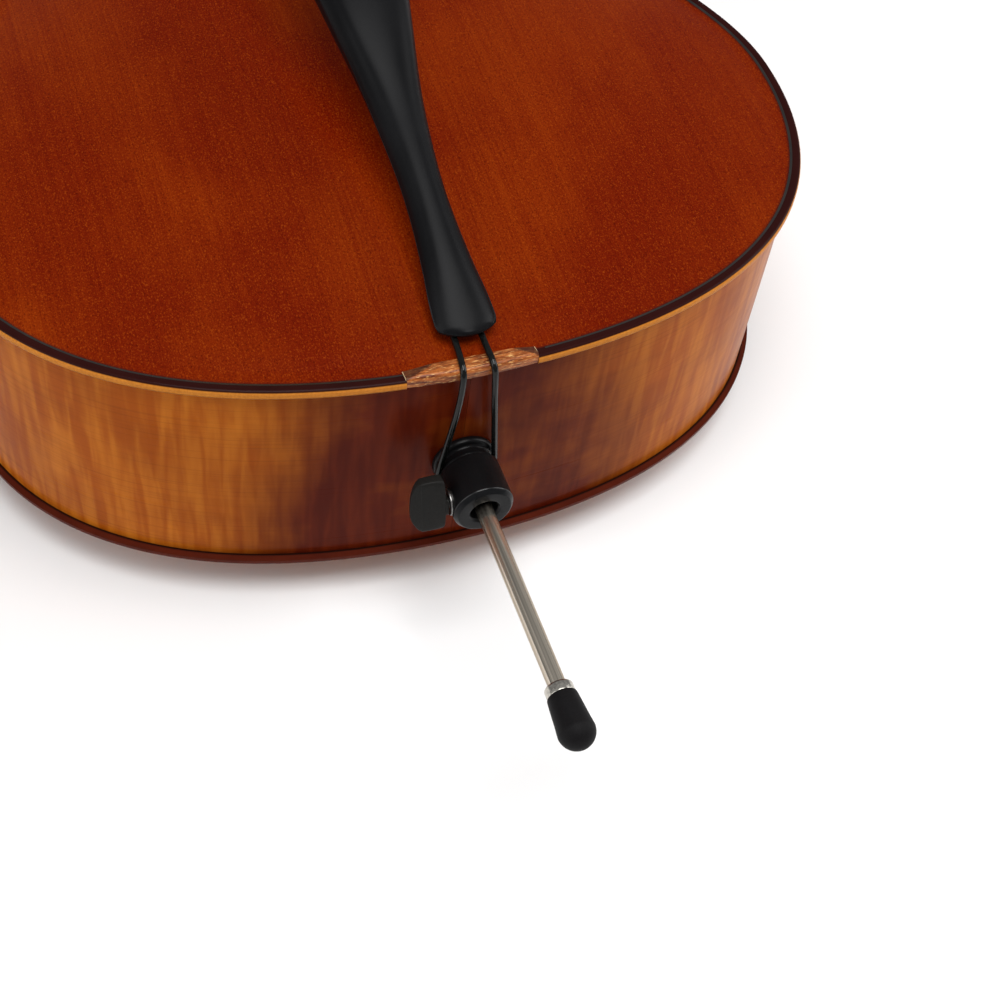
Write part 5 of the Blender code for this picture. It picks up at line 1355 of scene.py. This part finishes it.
def fine_tuners():
    for name, place, _ in STRINGS:
        x = place * TAIL_SPACING
        top = tail_crown(x)
        pivot = top - TUNER_DROP
        side_view = [
            (0.1995, pivot - 0.0014), (0.212, pivot - 0.0019), (0.224, pivot - 0.0018),
            (0.2285, pivot - 0.0002), (0.2297, pivot + 0.004),
            (TUNER_HOOK_S, top + 0.003), (0.2275, top + 0.0035), (0.225, top + 0.0034),
            (0.2243, top + 0.0008), (0.2225, pivot + 0.0022),
            (0.212, pivot + 0.0016), (0.1995, pivot + 0.0011),
        ]
        rings = [[(x + k * 0.0022, *tail_point(s, n)) for s, n in side_view] for k in (-1, 1)]
        lever = f"tuner_lever_{name}"
        add(f"{lever}_forged", loft(rings), "nickel", lever, [lever], bevel=0.0004)
        pin = turned(mm((0.1, -4.8), (1, -4.8), (1, 4.8), (0.1, 4.8)), 24, radius=0.0002)
        pin = aimed(pin, (x, *tail_point(TUNER_PIVOT_S, pivot)), (1, 0, 0))
        add(f"tuner_pin_{name}", pin, "dark_steel", lever)
        screw_foot = pivot + 0.0012 + 2 * GAP
        length = top + KNOB_RISE + 0.0062 - screw_foot
        thread = [(0.001, 0), (0.0017, 0.0008)]
        for k in range(int((length - 0.0016) / 0.0005)):
            thread += [(0.0018, 0.001 + 0.0005 * k), (0.0016, 0.00125 + 0.0005 * k)]
        screw = turned([*thread, (0.0018, length)], 24, radius=0.0001)
        screw_name = f"tuner_screw_{name}"
        add(f"{screw_name}_threaded", aimed(screw, (x, *tail_point(TUNER_SCREW_S, screw_foot)),
            TAIL_NORMAL), "nickel", screw_name, [screw_name])
        knob_name = f"tuner_knob_{name}"
        knob = aimed(knurled_knob(), (x, *tail_point(TUNER_SCREW_S, top + KNOB_RISE)), TAIL_NORMAL)
        add(f"{knob_name}_knurled", knob, "nickel", knob_name, [knob_name])


def knurled_knob():
    profile = rounded([(0.0019, 0.0), (0.0034, 0.0), (0.0049, 0.0007), (0.0049, 0.0058), (0.0042, 0.0066),
        (0.003, 0.007), (0.0019, 0.0068)], 0.0004)
    sides = 96
    rings = []
    for r, z in profile:
        ring = []
        for k in range(sides):
            tooth = 1 - (0.035 if k % 4 < 2 and r > 0.0045 else 0.0)
            a = 2 * math.pi * k / sides
            ring.append((r * tooth * math.cos(a), r * tooth * math.sin(a), z))
        rings.append(ring)
    return loft(rings, 30)


def gut_route():
    """Down the treble leg over the saddle, round the endpin's groove and back up the bass leg."""
    groove = GROOVE_RADIUS + GUT_RADIUS + 0.0001
    saddle = SADDLE_TOP + GUT_RADIUS
    y = -0.0023
    legs = [
        (-0.0036, 0.0086, tail_point(0.02, -GUT_RADIUS - 0.0004)),
        (-0.0038, 0.0086, tail_point(0.001, -GUT_RADIUS - 0.0004)),
        (-0.0044, 0.0085, (0.0095, saddle + 0.0002)),
        (-0.005, 0.0086, (0.005, saddle)),
        (-0.0053, 0.0087, (0.0012, saddle - 0.0006)),
        (-0.0056, 0.0089, (-0.0012, saddle - 0.0028)),
        (-0.0058, 0.0091, (-0.0021, saddle - 0.007)),
        (-0.0064, 0.0099, (y - 0.0002, saddle - 0.019)),
        (-0.0084, 0.0118, (y, 0.093)),
    ]
    ring = []
    for angle in np.radians(np.linspace(6, -191, 22)):
        ring.append((PIN_X + groove * math.cos(angle), y, PIN_Z + groove * math.sin(angle)))
    knots = [(treble, *place) for _, treble, place in legs] + ring + [(bass, *place) for bass, _,
        place in legs[::-1]]
    route = np.array(smooth_route(knots, 5))
    for _ in range(12):
        route[1:-1] = 0.25 * route[:-2] + 0.5 * route[1:-1] + 0.25 * route[2:]
    return route


def tailgut():
    tube("tailgut_cord", gut_route(), GUT_RADIUS, "cord", nodes=["tailgut"], sides=6)
    for x, word in ((-0.0036, "bass"), (0.0086, "treble")):
        name = f"tailgut_nut_{word}"
        mesh = turned([(0.0016, 0), (0.0029, 0), (0.0029, 0.006), (0.0016, 0.006)], 32)
        mesh = aimed(mesh, (x, *tail_point(0.0203, -0.0036)), TAIL_ALONG)
        add(f"{name}_turned", mesh, "brass", nodes=[name])


def lower_edge(x):
    """The outline near the middle of the body's lower end."""
    return LOWER_EDGE_CURVE * x * x


def saddle_facet(x, y):
    """How far the saddle's top is cut down towards its ends, by a plane beyond a slanting ridge."""
    reach = 0.015 if x < 0 else 0.011
    start = SADDLE_HALF - reach
    front = lower_edge(x)
    share = (y - front) / (SADDLE_DEEP - front)
    ridge = SADDLE_HALF - reach * min(1.0, max(0.0, share + 0.06))
    return max(0.0, (abs(x) - ridge) * 0.0021 / (SADDLE_HALF - start))


def saddle():
    """Let into the belly's edge: rounded to the front, its ends cut down in long slanting facets."""
    rings, facets = [], []
    for x in np.linspace(-SADDLE_HALF, SADDLE_HALF, 91):
        front = 0.0001 + lower_edge(x)
        ring = [(x, front + 0.0008, BELLY_UNDER), (x, SADDLE_DEEP, BELLY_UNDER)]
        drops = [0.0, 0.0]
        tops = [(SADDLE_DEEP, 0.0006), (SADDLE_DEEP - 0.0003, 0.0002), (SADDLE_DEEP - 0.0009, 0.0)]
        tops += [(SADDLE_DEEP - 0.0009 - k * (SADDLE_DEEP - 0.0009 - front - 0.0024) / 7,
            0.0) for k in range(1, 8)]
        tops += [(front + 0.0024 * (1 - math.sin(a)), 0.0024 * (1 - math.cos(a))) for a in np.linspace(0.2,
            math.pi / 2, 8)]
        for y, down in tops:
            drop = saddle_facet(x, y)
            ring.append((x, y, SADDLE_TOP - max(down, drop * (1 - 0.3 * down / 0.0024) + 0.6 * down)))
            drops.append(min(1.0, max(0.0, (drop - 0.00008) / 0.00022)))
        ring.append((x, front, BELLY_UNDER + 0.0009))
        drops.append(0.0)
        rings.append(ring)
        facets += drops
    mesh = loft(rings, 32)
    mark(mesh, "facet", facets)
    add("saddle_carved", mesh, "rosewood", nodes=["saddle"])
    for side in (-1, 1):
        x = side * (SADDLE_HALF + 0.0001)
        front = lower_edge(x)
        line = [(x, front + 0.0002, BELLY_TOP - 0.0022), (x, front + 0.0006, BELLY_TOP - 0.0006),
            (x, front + 0.0016, BELLY_TOP + 0.0004)]
        line += [(x, front + 0.0045, BELLY_TOP + 0.0001), (x, SADDLE_DEEP - 0.0004, BELLY_TOP - 0.0003)]
        word = "bass" if side < 0 else "treble"
        tube(f"saddle_glue_{word}", smooth_route(line, 4), 0.0002, "bare", sides=2)


# ---------------------------------------------------------------- endpin


def on_pin(name, mesh, paint, node, body="cello"):
    """Adds a piece turned about the endpin's line."""
    return add(name, aimed(mesh, (PIN_X, 0, PIN_Z), (0, -1, 0)), paint, body, [node])


def endpin():
    clamp = (PIN_X, CLAMP_Y, PIN_Z)
    flange, groove = FLANGE_RADIUS, GROOVE_RADIUS
    profile = [(0.0122, -0.04), (0.0134, -OVERHANG), (flange - 0.0004, -OVERHANG - 0.0002), (flange, -0.002)]
    profile += [(flange - 0.0006, -0.0004), (groove + 0.0006, 0.0), (groove, 0.0009), (groove, 0.0037)]
    profile += [(groove + 0.0008, 0.0046), (0.0136, 0.0048), (0.0136, HOUSING_NEAR)]
    plug = turned(profile, 96, bore=[(0.005, -0.04), (0.005, HOUSING_NEAR)], radius=0.0006)
    on_pin("endpin_plug_turned", plug, "housing", "endpin_plug")
    wide, near, far = HOUSING_RADIUS, HOUSING_NEAR, HOUSING_FAR
    profile = [(0.0134, near), (wide - 0.0002, near + 0.0004), (wide, near + 0.0012), (wide, far - 0.0026)]
    profile += [(wide - 0.0002, far - 0.002), (0.0128, far - 0.0002), (0.0124, far)]
    bore = [(0.0046, near), (0.0046, far - 0.008), (0.0062, far - 0.0062)]
    bore += [(0.0066, far - 0.0012), (0.0076, far)]
    housing = turned(profile, 128, bore=bore, radius=0.0003)
    for paint in ("housing", "housing_face", "painted_rim_highlight"):
        housing.materials.append(PAINTS[paint])
    # The outermost faces at the far end get the lighter grey as a painted highlight; the other far-end faces
    # get the satin grey.
    for polygon in housing.polygons:
        radius = math.hypot(polygon.center.x, polygon.center.y)
        if polygon.center.z > far - 0.0024 and radius > 0.0074:
            polygon.material_index = 2 if radius > wide - 0.00022 else 1
    piece = on_pin("endpin_housing_turned", housing, "housing", "endpin_housing")
    profile = [(0.0043, 0.002), (0.0043, SPOT_FACE), (0.0063, SPOT_FACE), (0.0063, 0.02)]
    hole = turned(profile, radius=0.0001)
    cut(piece, aimed(hole, clamp, (-1, 0, 0)))
    profile = [(0.004, 0.0062), (0.004, SPOT_FACE), (0.0058, SPOT_FACE), (0.006, 0.014)]
    profile += [(0.0064, 0.0141), (0.0064, 0.015)]
    washer = turned(profile, bore=[(0.0029, 0.0062), (0.0029, 0.015)], radius=0.0003)
    washer = aimed(washer, clamp, (-1, 0, 0))
    add("clamp_washer", washer, "dark_steel", nodes=["clamp_bushing"])
    screw = [(0.002, ROD_RADIUS + 0.0001), (0.0026, ROD_RADIUS + 0.0009)]
    for k in range(22):
        screw += [(0.0027, 0.005 + 0.0007 * k), (0.0024, 0.00535 + 0.0007 * k)]
    screw.append((0.0026, 0.0235))
    screw = aimed(turned(screw, 40, radius=0.0002), clamp, (-1, 0, 0))
    add("clamp_screw_threaded", screw, "dark_steel", "clamp_screw", ["clamp_screw"])
    clamp_grip(clamp)
    rod = [(0.003, ROD_IN), (ROD_RADIUS, ROD_IN + 0.001), (ROD_RADIUS, 0.0), (ROD_RADIUS, ROD_OUT)]
    on_pin("endpin_rod_drawn", turned(rod), "steel", "endpin_rod", "endpin")
    wide, near, far = FERRULE_RADIUS, FERRULE_NEAR, FERRULE_FAR + 0.0002
    profile = [(wide - 0.0005, near), (wide, near + 0.0006), (wide, far)]
    ferrule = turned(profile, 72, bore=[(ROD_RADIUS, near), (ROD_RADIUS, far)], radius=0.0003)
    on_pin("endpin_ferrule_turned", ferrule, "nickel", "endpin_ferrule", "endpin")
    start = FERRULE_FAR + 0.0001
    knots = [(0.0063, start), (0.0068, start + 0.0005), (0.0071, start + 0.003)]
    knots += [(0.0075, start + 0.0075), (0.0079, start + 0.0125)]
    nose = 0.0084
    for angle in np.linspace(0, math.radians(78), 12):
        knots.append((nose * math.cos(angle), TIP_END - nose + nose * math.sin(angle)))
    knots.append((0.0004, TIP_END))
    profile = [(0.0002, start), *[tuple(p) for p in smooth_route(knots, 4)]]
    tip = turned(profile, 72, radius=0.0002)
    on_pin("endpin_tip_moulded", tip, "rubber", "endpin_tip", "endpin")


def clamp_grip(clamp):
    """A flat, round-cornered paddle on a short hub, thinner towards its bowed outer edge."""
    stations = mm(  # distance out, half length, half thickness
        (15.6, 4, 4), (15.8, 4.6, 4.4), (17, 4.8, 4.4), (17.2, 11.2, 4.1), (17.6, 13.2, 3.9),
        (19, 13.9, 3.7), (23, 14.2, 3.5), (27.4, 14, 3.4), (28, 13.9, 3.3), (28.4, 13.7, 3),
        (29.8, 12.7, 2.2), (31.2, 10.4, 1.5), (32.2, 7.8, 1.1), (32.8, 4.6, 0.9), (33, 1.6, 0.6),
    )
    rings = []
    for along, wide, thick in smooth_route(stations, 4):
        ring = []
        lift = -0.0014 * float(np.clip((wide - 0.0048) / 0.006, 0, 1))
        for a in around(56):
            c, s = math.cos(a), math.sin(a)
            flat = math.copysign(abs(s) ** 0.28, s)
            hollow = 1 - 0.1 * (1 - abs(c) ** 2) * float(np.clip((along - 0.02) / 0.004, 0, 1))
            ring.append((thick * flat * hollow, wide * math.copysign(abs(c) ** 0.3, c) + lift, along))
        rings.append(ring)
    mesh = loft(rings, 60)
    quarter = math.pi / 2
    turn = Matrix.Rotation(-quarter, 4, "Y") @ Matrix.Rotation(quarter, 4, "Z")
    mesh.transform(Matrix.Translation(clamp) @ Matrix.Rotation(CLAMP_TILT, 4, "X") @ turn)
    add("clamp_grip_moulded", mesh, "grip", "clamp_grip", ["clamp_grip"])


# ---------------------------------------------------------------- stage, lights and camera


def stage_and_lights():
    floor = linked("floor", bpy.data.meshes.new("floor"))
    size = 12.0
    floor.data.from_pydata([(-size, -size, 0), (size, -size, 0), (size, size, 0), (-size, size, 0)], [],
        [(0, 1, 2, 3)])
    floor.data.materials.append(floor_paint())
    world = bpy.data.worlds.new("studio")
    world.use_nodes = True
    background = world.node_tree.nodes["Background"]
    background.inputs["Color"].default_value = (1.0, 1.0, 1.0, 1.0)
    background.inputs["Strength"].default_value = 0.26
    bpy.context.scene.world = world
    lamps = (  # name, place, size, power
        ("overhead", (0.0, -0.9, 2.4), (1.6, 1.3), 46.0),
        ("left", (-1.8, -0.8, 1.1), (1.0, 1.6), 12.0),
        ("right", (1.8, -0.6, 1.0), (1.0, 1.4), 17.0),
    )
    for name, place, size, power in lamps:
        data = bpy.data.lights.new(name, "AREA")
        data.shape = "RECTANGLE"
        data.size, data.size_y = size
        data.energy = power
        lamp = linked(name, data)
        lamp.location = place
        target = Vector((0.0, -0.35, 0.1))
        lamp.rotation_euler = (target - Vector(place)).to_track_quat("-Z", "Y").to_euler()


def camera():
    data = bpy.data.cameras.new("camera")
    data.sensor_width = 36.0
    data.lens = CAMERA_LENS
    data.shift_x, data.shift_y = CAMERA_SHIFT
    data.clip_start = 0.01
    obj = linked("camera", data)
    az, el, roll = CAMERA_AZIMUTH, CAMERA_ELEVATION, CAMERA_ROLL
    back = Vector((math.sin(az) * math.cos(el), -math.cos(az) * math.cos(el), math.sin(el)))
    right = Vector((math.cos(az), math.sin(az), 0.0))
    up = back.cross(right)
    side = math.cos(roll) * right + math.sin(roll) * up
    top = -math.sin(roll) * right + math.cos(roll) * up
    turn = Matrix((side, top, back)).transposed().to_4x4()
    obj.matrix_world = Matrix.Translation(CAMERA_AT + ORIGIN) @ turn
    bpy.context.scene.camera = obj


def paint_frame_nodes():
    """The inner pieces keep their CAD shapes and get a bare wood finish."""
    inner = ["lining_belly", "lining_back", "end_block", "top_block", "bass_bar", "soundpost"]
    inner += [f"corner_block_{place}_{word}" for place in ("lower", "upper") for word in ("bass", "treble")]
    for name in inner:
        node = frame["nodes"][name]
        for slot in node.material_slots:
            slot.material = PAINTS["bare"]


camera()
stage_and_lights()
paint_frame_nodes()
body_plates()
ribs()
neck_handle()
scroll_head()
fingerboard()
nut()
pegs()
bridge()
strings()
tailpiece()
fine_tuners()
tailgut()
saddle()
endpin()

bpy.context.scene.view_settings.view_transform = "Standard"
